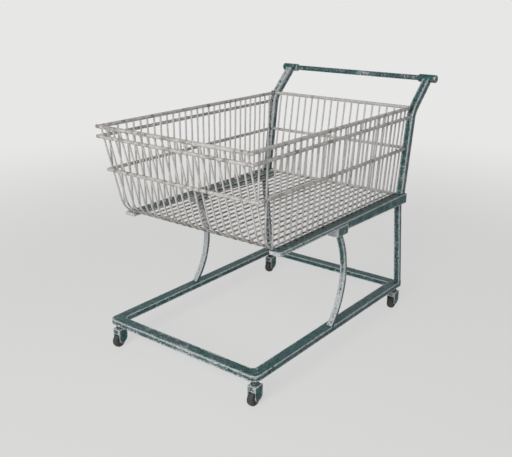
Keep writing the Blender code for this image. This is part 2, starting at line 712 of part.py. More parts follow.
def make_caster(name, x, y):
    """One caster: kingpin in the chassis, fork, axle, wheel and tyre."""
    swivel = (x, y, 0)
    y_front = y - FORK_LENGTH / 2
    axle_y = y - CASTER_TRAIL
    axle = (x, axle_y, WHEEL_RADIUS)
    inner = FORK_HALF_WIDTH - FORK_PLATE

    plate_low = FORK_TOP_Z - FORK_PLATE
    profile = [
        (SWIVEL_COLLAR_RADIUS, CHASSIS_BOTTOM_Z - GAP),
        (SWIVEL_COLLAR_RADIUS, FORK_TOP_Z + SWIVEL_CLEARANCE),
        (KINGPIN_RADIUS, FORK_TOP_Z + SWIVEL_CLEARANCE),
        (KINGPIN_RADIUS, plate_low - SWIVEL_CLEARANCE),
        (KINGPIN_HEAD_RADIUS, plate_low - SWIVEL_CLEARANCE),
        (KINGPIN_HEAD_RADIUS, plate_low - SWIVEL_CLEARANCE - KINGPIN_HEAD_THICKNESS),
    ]
    kingpin = mesh_object(name + "_kingpin", turned(profile, swivel, (0, 0, 1), PIN_SIDES), "caster_steel")
    smooth(kingpin)

    outline = fork_outline(y_front)
    cheeks = [plate(outline, x - FORK_HALF_WIDTH, x - inner), plate(outline, x + inner, x + FORK_HALF_WIDTH)]
    sink = FORK_PLATE / 2
    crown = block((x - inner - sink, y_front, plate_low),
                  (x + inner + sink, y_front + FORK_LENGTH, FORK_TOP_Z))
    web = block((x - inner - sink, y_front, FORK_TOP_Z - FORK_WEB_HEIGHT),
                (x + inner + sink, y_front + FORK_PLATE, FORK_TOP_Z - sink))
    fork = welded(name + "_fork", cheeks, [crown], "caster_paint")
    combined(fork, mesh_object(name + "_web", web, "caster_paint"), 'UNION')
    reach = FORK_HALF_WIDTH + FORK_PLATE
    hole = turned([(AXLE_RADIUS + GAP, -reach), (AXLE_RADIUS + GAP, reach)], axle, (1, 0, 0), PIN_SIDES)
    bore_radius = KINGPIN_RADIUS + SWIVEL_CLEARANCE
    profile = [(bore_radius, plate_low - FORK_PLATE), (bore_radius, FORK_TOP_Z + FORK_PLATE)]
    bore = turned(profile, swivel, (0, 0, 1), PIN_SIDES)
    cut(fork, [hole, bore], "caster_paint")
    placed(smooth(fork), (x, y, FORK_TOP_Z))

    head = FORK_HALF_WIDTH + GAP
    end = head + AXLE_HEAD_THICKNESS
    profile = [(AXLE_HEAD_RADIUS, -end), (AXLE_HEAD_RADIUS, -head), (AXLE_RADIUS, -head),
               (AXLE_RADIUS, head), (AXLE_HEAD_RADIUS, head), (AXLE_HEAD_RADIUS, end)]
    pin = mesh_object(name + "_axle", turned(profile, axle, (1, 0, 0), PIN_SIDES), "caster_steel")
    placed(smooth(pin), axle)

    core_radius = WHEEL_RADIUS - TYRE_THICKNESS
    core = hoop(AXLE_RADIUS + GAP, core_radius, WHEEL_WIDTH, axle, (1, 0, 0), WHEEL_SIDES)
    placed(smooth(mesh_object(name + "_wheel", core, "wheel_core")), axle)
    tyre = hoop(core_radius + GAP, WHEEL_RADIUS, WHEEL_WIDTH, axle, (1, 0, 0), WHEEL_SIDES, TYRE_SHOULDER)
    placed(smooth(mesh_object(name + "_tyre", tyre, "wheel_rubber")), axle)


def main():
    """Build the whole cart."""
    clear_scene()
    make_chassis()
    for name, side in SIDES.items():
        make_rail(name, side)
        make_bracket(name, side)
        make_strut(name, side)
        make_post(name, side)
        make_upright(name, side)
        make_side_wall(name, side)
    make_push_bar()
    make_front_wall()
    make_floor()
    make_rear_wall()
    make_ring("upper", UPPER_RING_Z, UPPER_RING_END_X)
    make_ring("lower", LOWER_RING_Z, LOWER_RING_END_X)
    for row, y in (("front", FRONT_CASTER_Y), ("rear", REAR_CASTER_Y)):
        for name, side in SIDES.items():
            make_caster("caster_" + row + "_" + name, side * CASTER_X, y)


main()
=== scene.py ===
"""Looks of a worn shopping cart: chipped teal tube frame, grimy wire basket and small rubber wheels.

Run as a script in Blender. Metres, +Z up, front of the cart towards -Y, push bar towards +Y.
"""
import math

import bpy
import numpy as np
from bpy.props import FloatProperty, FloatVectorProperty, PointerProperty
from bpy.types import Operator, Panel, PropertyGroup
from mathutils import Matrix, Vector


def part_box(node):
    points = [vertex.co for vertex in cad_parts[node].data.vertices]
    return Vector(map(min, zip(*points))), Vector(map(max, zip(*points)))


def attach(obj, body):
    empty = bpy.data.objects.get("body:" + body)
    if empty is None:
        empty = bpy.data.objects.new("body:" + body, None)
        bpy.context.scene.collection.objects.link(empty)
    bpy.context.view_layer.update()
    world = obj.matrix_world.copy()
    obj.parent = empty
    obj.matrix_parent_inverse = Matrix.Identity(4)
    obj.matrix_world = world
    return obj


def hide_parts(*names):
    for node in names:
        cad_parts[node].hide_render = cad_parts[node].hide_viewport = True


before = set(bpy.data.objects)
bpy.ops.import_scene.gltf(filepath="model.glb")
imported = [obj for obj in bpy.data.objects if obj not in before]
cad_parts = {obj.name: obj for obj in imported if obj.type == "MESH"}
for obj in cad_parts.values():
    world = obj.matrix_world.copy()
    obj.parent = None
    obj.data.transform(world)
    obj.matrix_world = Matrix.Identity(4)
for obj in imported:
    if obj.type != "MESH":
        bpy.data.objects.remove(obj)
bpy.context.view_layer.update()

bl_info = {
    "name": "Worn shopping cart",
    "version": (1, 0, 0),
    "blender": (4, 5, 0),
    "location": "3D View > Sidebar > Cart",
    "description": "Builds the looks of a worn wire shopping cart round its solid model",
    "category": "Object",
}

SIDES = {"right": 1.0, "left": -1.0}
ROWS = ("front", "rear")

X_AXIS = np.array((1.0, 0.0, 0.0))
Y_AXIS = np.array((0.0, 1.0, 0.0))
Z_AXIS = np.array((0.0, 0.0, 1.0))

# Places taken from the solid model

CHASSIS_LOW, CHASSIS_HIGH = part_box("chassis_tube")
REAR_BAR_LOW, REAR_BAR_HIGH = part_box("chassis_rear_bar")
RAIL_LOW, RAIL_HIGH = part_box("rail_right")
BRACKET_LOW, BRACKET_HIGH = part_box("strut_bracket_right")
STRUT_LOW, STRUT_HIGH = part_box("strut_right")
POST_LOW, POST_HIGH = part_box("rear_post_right")
UPRIGHT_LOW, UPRIGHT_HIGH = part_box("upright_right")
BAR_LOW, BAR_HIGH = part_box("push_bar")
SOCKET_LOW, SOCKET_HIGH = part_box("bar_socket_right")
CAP_LOW, CAP_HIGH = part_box("bar_end_cap_right")
TYRE_LOW, TYRE_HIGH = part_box("caster_front_right_tyre")
CORE_LOW, CORE_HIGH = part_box("caster_front_right_wheel")
FORK_LOW, FORK_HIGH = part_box("caster_front_right_fork")


def middle_and_width(low, high):
    """Middle and width of a solid across the cart."""
    return (low.x + high.x) / 2, high.x - low.x


RAIL_X, RAIL_WIDTH = middle_and_width(RAIL_LOW, RAIL_HIGH)
STRUT_X, STRUT_WIDTH = middle_and_width(STRUT_LOW, STRUT_HIGH)
POST_X, POST_WIDTH = middle_and_width(POST_LOW, POST_HIGH)
UPRIGHT_X, UPRIGHT_WIDTH = middle_and_width(UPRIGHT_LOW, UPRIGHT_HIGH)
SEAT_Y = (REAR_BAR_LOW.y + REAR_BAR_HIGH.y) / 2

# Frame

CHASSIS_OUTER_CORNER = 0.025
CHASSIS_INNER_CORNER = 0.018
RAIL_FRONT_DEPTH = 0.012
RAIL_STEP_DEPTH = 0.028
STRUT_DEPTH = 0.013
STRUT_BOW_RADIUS = 0.264
STRUT_BOW_CENTRE_Y = -0.3017
STRUT_BOW_CENTRE_Z = 0.301
POST_DEPTH = 0.015
POST_FOOT_Y = 0.3885
POST_HEAD_Y = 0.3475
UPRIGHT_DEPTH = 0.028
UPRIGHT_FOOT_Y = 0.3735
UPRIGHT_KNEE = (0.421, 0.797)
UPRIGHT_KNEE_RADIUS = 0.080
BAR_Y = 0.541
BAR_Z = 0.909
BAR_RADIUS = (BAR_HIGH.z - BAR_LOW.z) / 2
SOCKET_RADIUS = (SOCKET_HIGH.z - SOCKET_LOW.z) / 2
SOCKET_ROUNDING = 0.0018
TUBE_TIP = 0.0015
RAIL_TIP = 0.0012
BACK_EDGE_SPARED = 0.0016

# Basket

RIM_Z = 0.8123
FRONT_Y = -0.5481
FRONT_LEAN = 0.26
FRONT_BEND_RADIUS = 0.095
FLOOR_HALF_WIDTH = 0.3055
RIM_HALF_WIDTH = 0.3170
RIM_OFFSET = 0.0015
RIM_END_X = 0.330
RINGS = {"upper": (0.779, 0.331), "lower": (0.6614, 0.324)}
RING_HEIGHTS = [height for height, _ in RINGS.values()]
LOWER_RING_Z = RINGS["lower"][0]
SIDE_FOOT_Z = 0.4915
LENGTH_Z = 0.4848
LENGTH_PITCH = 0.0314
LENGTH_SIDE_COUNT = 9
LENGTH_PLACES = LENGTH_PITCH * np.arange(-LENGTH_SIDE_COUNT, LENGTH_SIDE_COUNT + 1)
CORNER_PITCH = 0.0251
FIRST_FOOT_Y = -0.4295
FOOT_PITCH = 0.0311
SIDE_COUNT = 26
SIDE_REAR_LEAN = 0.091
CORNER_WIRES = (0.0385, 0.0770)
FLOOR_REAR_Y = 0.3653
REAR_LEAN = 0.157
WELD_SINK = 0.0012
# Size of the near-black lumps at the wires' feet: weld beads that also paint shadow
FOOT_BEAD = (0.0062, 0.0054, 0.0026)
SIDE_BEAD = (0.0012, 0.0034, 0.0024)
CROSS_BEAD = (0.0036, 0.0016, 0.0032)
FLOOR_BEAD = (0.0042, 0.0034, 0.0030)

# Casters

CASTER_X = 0.312
CASTER_Y = {"front": -0.5221, "rear": 0.388}
CASTER_TRAIL = 0.0085
FORK_HALF_WIDTH = (FORK_HIGH.x - FORK_LOW.x) / 2
FORK_LENGTH = FORK_HIGH.y - FORK_LOW.y
FORK_TOP_Z = FORK_HIGH.z
FORK_PLATE = 0.003
FORK_WEB_HEIGHT = 0.0205
FORK_SHOULDER_Z = 0.041
FORK_TIP_BEHIND_FRONT = 0.014
FORK_CORNER = 0.0018
PLATE_ROUNDING = 0.0011

# Wear of single places, from 0 to 1: paint rubbed off the frame, darkening of the rails' tops by dirt and
# painted shadow, and grime on the basket's rods

CHASSIS_FRONT_RUB = 0.22
RAIL_TIP_RUB = 0.7
RAIL_LOW_EDGE_RUB = 0.45
# Darkening of the rails' inboard top faces, under the wires' feet: dirt and painted shadow
RAIL_GRIME_AND_SHADE = 0.75
BRACKET_RUB = {"front": 0.80, "rest": 0.12}
STRUT_RUB = 0.06
STRUT_WEAR = {"right": (0.50, 0.50), "left": (0.90, 0.60)}
POST_RUB = {"front": 0.14, "rest": 0.04}
UPRIGHT_RUB = 0.20
UPRIGHT_FRONT_RUB = {"right": 0.0, "left": 0.24}
BAR_RUB = 0.33
SOCKET_RUB = 0.12
CAP_RUB = 0.10
FORK_TOP_RUB = 0.12
FORK_WEB_RUB = 0.18
ROD_GRIME = {"side rim": 0.45, "front rim": 0.5, "bend": 0.8, "floor": 0.3, "rear rim": 0.2,
             "rear middle": 0.25}

# Colours of dirt and rust, and near-black colours that also paint the shadow at the wires' feet and on the
# rails under them

BROWN_STAIN = (0.340, 0.250, 0.200)
# Near-black dirt, which on the rails' inboard tops is also painted shadow
SOOT_AND_SHADE = (0.028, 0.027, 0.025)
WIRE_RUST = (0.250, 0.150, 0.110)
# Near black: burnt weld, and painted shadow at the wires' feet and the rods' ends
BURNT_AND_SHADOW = ((0.012, 0.012, 0.012), (0.045, 0.040, 0.036))
WELD_RUST = (0.110, 0.062, 0.040)
DUST = (0.150, 0.146, 0.140)
SCUFF = (0.034, 0.034, 0.035)
CORE_SCRATCH = (0.200, 0.192, 0.182)
GREASE = (0.070, 0.064, 0.058)
PIN_RUST = (0.210, 0.098, 0.050)

# Stage

CAMERA_PLACE = (1.5126, -2.0474, 1.2553)
CAMERA_AIM = (0.0, -0.1195, 0.4098)
LAMP_AIM = (0.0, 0.0, 0.4)
KEY_LAMP = ((0.9, -4.0, 2.4), 2.2, (1.0, 0.985, 0.965))
FILL_LAMP = ((3.0, -0.6, 1.9), 2.4, (0.965, 0.985, 1.0))
FLOOR_RINGS = (0.001, 2.0, 8.0, 40.0)
FLOOR_SPOKES = 64

# Fineness of the surfaces

TUBE_STEP = 0.008
WIRE_STEP = 0.010
BENT_WIRE_STEP = 0.008
WIRE_SIDES = 10
ROD_SIDES = 14
BEAD_SIDES = 8
FAR_FROM_EDGE = 1.0

# First numbers of the random draws, one range for each kind of piece

SEEDS = {"frame welds": 0, "side rims": 90, "side wires": 100, "long wires": 300, "corner wires": 340,
         "front rim": 345, "bend wire": 360, "floor rod": 390, "rear wires": 411, "rear rods": 440,
         "ring fronts": 450, "ring sides": 455, "beads": 500}


# Settings

COLOUR = {"subtype": 'COLOR', "size": 3, "min": 0, "max": 1}


class CartFrameSettings(PropertyGroup):
    """Sizes and colours of the painted frame."""
    tube_width: FloatProperty(
        name="Tube width", description="Width of the chassis tube", default=0.040, min=0.01, unit='LENGTH')
    edge_rounding: FloatProperty(
        name="Edge rounding", description="Radius of the tubes' long edges", default=0.0013, min=0.0005,
        unit='LENGTH')
    weld_radius: FloatProperty(
        name="Weld size", description="Radius of the weld beads", default=0.0021, min=0.0005, unit='LENGTH')
    paint: FloatVectorProperty(
        name="Paint", description="Colour of sound paint", default=(0.036, 0.140, 0.138), **COLOUR)
    blue_patch: FloatVectorProperty(
        name="Blue patches", description="Colour of the older coat under it", default=(0.075, 0.140, 0.190),
        **COLOUR)
    faded: FloatVectorProperty(
        name="Faded paint", description="Colour of chalky, faded paint", default=(0.20, 0.28, 0.28), **COLOUR)
    bare_metal: FloatVectorProperty(
        name="Bare metal", description="Colour where the paint is gone", default=(0.74, 0.79, 0.82), **COLOUR)
    wear: FloatProperty(
        name="Wear", description="How much paint is lost", default=0.5, min=0.0, max=1.0, subtype='FACTOR')


class CartBasketSettings(PropertyGroup):
    """Sizes and colours of the basket's wires."""
    wire_radius: FloatProperty(
        name="Wire radius", description="Radius of the basket wires", default=0.0032, min=0.001,
        unit='LENGTH')
    rim_radius: FloatProperty(
        name="Rim radius", description="Radius of the rods round the rim", default=0.0064, min=0.001,
        unit='LENGTH')
    ring_radius: FloatProperty(
        name="Ring radius", description="Radius of the rods round the walls", default=0.0059, min=0.001,
        unit='LENGTH')
    waver: FloatProperty(
        name="Waver", description="How far the wires are bent out of line", default=0.0004, min=0.0,
        max=0.005, unit='LENGTH')
    wire_colour: FloatVectorProperty(
        name="Wire", description="Colour of clean wire", default=(0.720, 0.705, 0.690), **COLOUR)
    grime: FloatVectorProperty(
        name="Grime", description="Colour of the dirt on the wires", default=(0.120, 0.098, 0.084), **COLOUR)


class CartCasterSettings(PropertyGroup):
    """Sizes and colours of the casters."""
    wheel_radius: FloatProperty(
        name="Wheel radius", description="Radius of the tyres", default=(TYRE_HIGH.z - TYRE_LOW.z) / 2,
        min=0.01, unit='LENGTH')
    tread_squareness: FloatProperty(
        name="Tread squareness", description="2 is round, higher is flatter", default=2.5, min=2.0, max=8.0)
    rubber: FloatVectorProperty(
        name="Rubber", description="Colour of the tyres", default=(0.052, 0.052, 0.054), **COLOUR)
    core: FloatVectorProperty(
        name="Wheel core", description="Colour of the wheels' hard cores", default=(0.055, 0.055, 0.058),
        **COLOUR)
    # Dark and teal-tinted: steel and grease, and painted shade on the swivels between chassis and fork
    steel_and_shade: FloatVectorProperty(
        name="Steel", description="Colour of pins and swivels", default=(0.090, 0.105, 0.105), **COLOUR)


class CartStageSettings(PropertyGroup):
    """Floor, lamps and camera."""
    floor_colour: FloatVectorProperty(
        name="Floor", description="Colour of the plain floor", default=(0.800, 0.800, 0.795), **COLOUR)
    key_power: FloatProperty(
        name="Key light", description="Power of the large soft lamp in front", default=108.0, min=0.0,
        unit='POWER')
    fill_power: FloatProperty(
        name="Fill light", description="Power of the soft lamp at the right", default=2.0, min=0.0,
        unit='POWER')
    sky_strength: FloatProperty(
        name="Sky light", description="Strength of the even light from all round", default=0.15, min=0.0,
        max=2.0)
    lens: FloatProperty(
        name="Lens", description="Focal length on a 36 mm sensor, in millimetres", default=50.0, min=10.0,
        max=200.0)


# Surfaces

def unit(vectors):
    """Vectors divided by their length."""
    return vectors / np.linalg.norm(vectors, axis=-1, keepdims=True)


def rounded_off(from_end, tip):
    """Inset that rounds an end off: tip - sqrt(tip^2 - (tip - distance)^2) within tip of the end."""
    return tip - np.sqrt(np.maximum(tip ** 2 - np.maximum(tip - from_end, 0.0) ** 2, 0.0))


def resampled(line, step, tip=0.0):
    """Places along a line: even steps between its ends, and within tip of each end the places
    tip * (1 - cos a) for a from 0 to 90 degrees. Also gives each place's distance from the nearest
    end, and the inset that rounds the end off.
    """
    line = np.asarray(line, float)
    reach = np.concatenate([[0.0], np.cumsum(np.linalg.norm(np.diff(line, axis=0), axis=1))])
    total = reach[-1]
    count = max(3, int(round((total - 2 * tip) / step)) + 1)
    at = np.linspace(tip, total - tip, count)
    if tip > 0.0:
        close = tip * (1 - np.cos(np.linspace(0.0, math.pi / 2, 5)[:-1]))
        at = np.concatenate([close, at, total - close[::-1]])
    path = np.stack([np.interp(at, reach, line[:, axis]) for axis in range(3)], axis=-1)
    from_end = np.minimum(at, total - at)
    return path, from_end, rounded_off(from_end, tip)


def box_outline(width, height, rounding):
    """Rounded rectangles, one for each width and height: four quarter circles joined by flats.
    Also gives each point's distance from the nearest rounded edge.
    """
    width, height = np.broadcast_arrays(np.atleast_1d(width), np.atleast_1d(height))
    quarter = np.linspace(0.0, math.pi / 2, 5)
    arcs = []
    for turn, (sign_u, sign_v) in enumerate(((1, 1), (-1, 1), (-1, -1), (1, -1))):
        angle = quarter + turn * math.pi / 2
        u = sign_u * (width / 2 - rounding)[:, None] + rounding * np.cos(angle)
        v = sign_v * (height / 2 - rounding)[:, None] + rounding * np.sin(angle)
        arcs.append(np.stack([u, v], axis=-1))
    share = np.array((0.08, 0.2, 0.5, 0.8, 0.92))
    points = []
    edges = []
    for turn, arc in enumerate(arcs):
        start = arc[:, -1:]
        flat = arcs[(turn + 1) % 4][:, :1] - start
        points += [arc, start + flat * share[None, :, None]]
        length = np.linalg.norm(flat[:, 0], axis=-1)[:, None]
        edges += [np.zeros(arc.shape[:2]), length * np.minimum(share, 1 - share)]
    return np.concatenate(points, axis=1), np.concatenate(edges, axis=1)


def round_outline(sides):
    """Circle of radius 1."""
    angle = np.linspace(0.0, 2 * math.pi, sides, endpoint=False)
    return np.stack([np.cos(angle), np.sin(angle)], axis=-1)


def swept(path, outline, side, up):
    """Outline swept along a path: point = path + u * side + v * up."""
    return path[:, None] + outline[..., :1] * side + outline[..., 1:] * up


def directions(path, across):
    """Side, the across direction made square to a path, and up, square to both."""
    along = unit(np.gradient(path, axis=0))
    side = unit(across - (along @ across)[:, None] * along)
    return side, np.cross(side, along)


def carried(path, outline, across):
    """Outline carried square to a path, with its width across."""
    side, up = directions(path, across)
    return swept(path, outline, side[:, None], up[:, None])


def turned(profile, centre, axis, sides):
    """Profile turned about an axis: point = centre + along * axis + radius * (cos a, sin a)."""
    profile = np.asarray(profile, float)
    across = X_AXIS if abs(axis[0]) < 0.5 else Z_AXIS
    up = np.cross(axis, across)
    ring = round_outline(sides)
    outward = ring[:, :1] * across + ring[:, 1:] * up
    spine = np.asarray(centre, float) + profile[:, 1:] * axis
    return spine[:, None] + profile[:, 0][:, None, None] * outward


class Surface:
    """Closed shells gathered into one mesh, with the marks that their material reads."""

    def __init__(self, *shell, **marks):
        self.points = []
        self.faces = []
        self.marks = {"edge": [], "grime": [], "rub": []}
        self.count = 0
        if shell:
            self.add(*shell, **marks)

    def add(self, grid, edge=FAR_FROM_EDGE, grime=0.0, rub=0.0, looped=False):
        """Add a grid of rings by sides by 3. Its rings are closed, and its ends are capped, or
        joined to each other if it is looped. A shell whose volume about its middle, the sum of
        the corner products of its faces, comes out negative is turned the right way out.
        """
        rings, sides = grid.shape[:2]
        spans = rings if looped else rings - 1
        ring, side = np.meshgrid(np.arange(spans), np.arange(sides), indexing="ij")
        after_ring = (ring + 1) % rings * sides
        after_side = (side + 1) % sides
        ring = ring * sides
        corners = [ring + side, ring + after_side, after_ring + after_side, after_ring + side]
        quads = np.stack(corners, axis=-1).reshape(-1, 4)
        points = grid.reshape(-1, 3)
        corners = points[quads] - points.mean(axis=0)
        volume = np.einsum("ij,ij->i", corners[:, 0], np.cross(corners[:, 1], corners[:, 2]))
        volume += np.einsum("ij,ij->i", corners[:, 0], np.cross(corners[:, 2], corners[:, 3]))
        faces = (quads + self.count).tolist()
        if not looped:
            first = list(range(self.count, self.count + sides))
            last = list(range(self.count + (rings - 1) * sides, self.count + rings * sides))
            faces += [first[::-1], last]
        if volume.sum() < 0:
            faces = [face[::-1] for face in faces]
        self.faces += faces
        self.points.append(points)
        for name, value in (("edge", edge), ("grime", grime), ("rub", rub)):
            self.marks[name].append(np.broadcast_to(value, (rings, sides)).reshape(-1))
        self.count += len(points)


def piece(name, surface, material, body, nodes=(), sharp=0.9):
    """Object made of a surface, which rides on a body and stands for the named solids."""
    mesh = bpy.data.meshes.new(name)
    mesh.from_pydata(np.concatenate(surface.points), [], surface.faces)
    for mark, values in surface.marks.items():
        layer = mesh.attributes.new(mark, 'FLOAT', 'POINT')
        layer.data.foreach_set("value", np.concatenate(values).astype(np.float32))
    mesh.shade_smooth()
    mesh.set_sharp_from_angle(angle=sharp)
    mesh.materials.append(material)
    made = bpy.data.objects.new(name, mesh)
    bpy.context.scene.collection.objects.link(made)
    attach(made, body)
    if nodes:
        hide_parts(*nodes)


def painted(name, surface, *nodes):
    """Piece of the frame in worn paint."""
    piece(name, surface, once(frame_teal), "cart", nodes)


def wired(name, surface, *nodes):
    """Piece of the basket in grimy metal."""
    piece(name, surface, once(basket_metal), "cart", nodes)


def tube(surface, line, across, width, height, rounding, tip=TUBE_TIP, step=TUBE_STEP, **marks):
    """Rounded box section carried along a line, with rounded ends. Width lies across."""
    path, from_end, inset = resampled(line, step, tip)
    outline, edge = box_outline(width - 2 * inset, height - 2 * inset, rounding)
    return surface.add(carried(path, outline, across), np.minimum(edge, from_end[:, None]), **marks)


def wavered(path, amount, across, seed):
    """Path bent a little out of line: amount * sin(pi s) * sin(2 pi (f s + p)), s from 0 to 1,
    with f and p drawn for each path, in two directions square to the path.
    """
    draw = np.random.default_rng(seed)
    share = np.linspace(0.0, 1.0, len(path))
    bent = path.copy()
    for direction in directions(path, across):
        wave = np.sin(2 * math.pi * (draw.uniform(0.5, 2.2) * share + draw.uniform()))
        bent += (amount * draw.uniform(0.3, 1.0) * np.sin(math.pi * share) * wave)[:, None] * direction
    return bent


def rod(surface, line, across, radius, seed, grime, sides=ROD_SIDES, step=WIRE_STEP, tip=None, waver=0.0):
    """Round rod along a line, with domed ends. Grime is a number or worked out from the path."""
    path, _, inset = resampled(line, step, radius * 0.7 if tip is None else tip)
    if waver:
        path = wavered(path, waver, across, seed)
    outline = round_outline(sides)[None] * (radius - inset)[:, None, None]
    surface.add(carried(path, outline, across), grime=grime(path)[:, None] if callable(grime) else grime)


def thin_wire(surface, line, settings, seed, grime, tip=0.0, step=WIRE_STEP):
    """Wire of the basket, which stands or runs along the cart."""
    rod(surface, line, X_AXIS, settings.wire_radius, seed, grime, WIRE_SIDES, step, tip, settings.waver)


def rod_across(surface, reach, y, z, radius, seed, grime, **shape):
    """Straight rod across the cart, from -reach to reach."""
    rod(surface, [(-reach, y, z), (reach, y, z)], Z_AXIS, radius, seed, grime, **shape)


def bead(surface, centre, radii, seed):
    """Small lump of weld metal: an ellipsoid whose radii are each drawn within 20 %."""
    radii = np.asarray(radii) * np.random.default_rng(seed).uniform(0.8, 1.2, 3)
    angle = np.linspace(0.15, math.pi - 0.15, 6)[:, None, None]
    height = np.repeat(np.cos(angle), BEAD_SIDES, axis=1)
    grid = np.concatenate([np.sin(angle) * round_outline(BEAD_SIDES), height], axis=-1)
    surface.add(np.asarray(centre) + grid * radii)


def weld_seam(surface, line, across, radius, seed):
    """Weld bead along a line: a rod whose radius swells as 1 + 0.16 * |sin| with each ripple."""
    path, from_end, _ = resampled(line, 0.0009)
    path = wavered(path, radius * 0.25, across, seed)
    ripple = 1 + 0.16 * np.abs(np.sin(np.arange(len(path)) * 1.05))
    closing = np.clip(from_end / radius, 0.25, 1.0)
    outline = round_outline(BEAD_SIDES)[None] * (radius * ripple * closing)[:, None, None]
    surface.add(carried(path, outline, across))


def weld_round(surface, centre, width, depth, radius, seed):
    """Weld bead round the foot of a tube that stands on a level face."""
    outline, _ = box_outline(width, depth, 0.003)
    loop = np.concatenate([outline[0], outline[0][:1]])
    line = np.column_stack([loop, np.zeros(len(loop))]) + np.asarray(centre)
    weld_seam(surface, line, Z_AXIS, radius, seed)


# Materials

class Value:
    """Output of a node. Sums, differences and products of outputs are nodes too."""

    def __init__(self, nodes, socket):
        self.nodes = nodes
        self.socket = socket

    def __add__(self, other):
        return self.nodes.math('ADD', self, other)

    def __sub__(self, other):
        return self.nodes.math('SUBTRACT', self, other)

    def __mul__(self, other):
        return self.nodes.math('MULTIPLY', self, other)


class Nodes:
    """Short ways to wire a tree of nodes."""

    def __init__(self, tree):
        self.tree = tree

    def feed(self, socket, value):
        """Link an output to a socket, or set the socket's own value."""
        value = getattr(value, "socket", value)
        if isinstance(value, bpy.types.NodeSocket):
            self.tree.links.new(value, socket)
        elif hasattr(value, "__len__"):
            socket.default_value = (*value, 1.0)
        else:
            socket.default_value = value

    def node(self, kind, feeds, **options):
        """Node of a kind with its options set and its sockets fed."""
        made = self.tree.nodes.new("ShaderNode" + kind)
        for name, value in options.items():
            setattr(made, name, value)
        for name, value in feeds.items():
            self.feed(made.inputs[name], value)
        return made

    def math(self, operation, first, second=0.0):
        made = self.node("Math", {0: first, 1: second}, operation=operation)
        return Value(self, made.outputs[0])

    def seen(self):
        """1 for what the camera and gloss see, 0 for the light itself."""
        ray = self.node("LightPath", {})
        return self.math('MAXIMUM', ray.outputs["Is Camera Ray"], ray.outputs["Is Glossy Ray"])

    def show(self, output, share, first, second):
        """Send a mix of two shaders to the tree's output."""
        both = self.node("MixShader", {0: share, 1: first.outputs[0], 2: second.outputs[0]})
        self.feed(self.tree.nodes[output].inputs["Surface"], both.outputs[0])


class Finish(Nodes):
    """A material, whose patterns lie on the object's own coordinates."""

    def __init__(self, name):
        self.material = bpy.data.materials.new(name)
        self.material.use_nodes = True
        super().__init__(self.material.node_tree)
        self.shader = self.tree.nodes["Principled BSDF"]
        self.place = self.node("TexCoord", {}).outputs["Object"]

    def noise(self, scale, detail=4.0, roughness=0.55, distortion=0.0, stretch=None):
        """Noise of a number of cells in a metre, from 0 to 1."""
        place = self.place
        if stretch:
            mapping = self.node("Mapping", {"Vector": place})
            mapping.inputs["Scale"].default_value = stretch
            place = mapping.outputs["Vector"]
        made = self.node("TexNoise", {"Vector": place, "Scale": scale, "Detail": detail,
                                      "Roughness": roughness, "Distortion": distortion})
        return Value(self, made.outputs["Fac"])

    def mark(self, name):
        """A mark that the mesh carries."""
        return Value(self, self.node("Attribute", {}, attribute_name=name).outputs["Fac"])

    def rise(self, value, low, high, to_low=0.0, to_high=1.0):
        """Smooth step of a value between two limits."""
        feeds = dict(enumerate((value, low, high, to_low, to_high)))
        made = self.node("MapRange", feeds, interpolation_type='SMOOTHSTEP', clamp=True)
        return Value(self, made.outputs["Result"])

    def patches(self, scale, detail, roughness, low, high, to_low=0.0, to_high=1.0):
        """Soft patches: the smooth step of a noise."""
        return self.rise(self.noise(scale, detail, roughness), low, high, to_low, to_high)

    def mix(self, share, first, second):
        """Colour between two colours."""
        made = self.node("Mix", {"Factor": share, 6: first, 7: second}, data_type='RGBA')
        return Value(self, made.outputs[2])

    def bump(self, height, distance, strength):
        made = self.node("Bump", {"Distance": distance, "Strength": strength, "Height": height})
        self.feed(self.shader.inputs["Normal"], made.outputs["Normal"])

    def set(self, **values):
        """Feed the shader's sockets, named as in base_color."""
        for name, value in values.items():
            self.feed(self.shader.inputs[name.replace("_", " ").title()], value)
        return self.material


def once(maker):
    """Material of that maker, made only once."""
    name = maker.__name__
    return bpy.data.materials.get(name) or maker(name)


def scaled(colour, factor):
    """Colour made darker or lighter."""
    return tuple(min(1.0, channel * factor) for channel in colour)


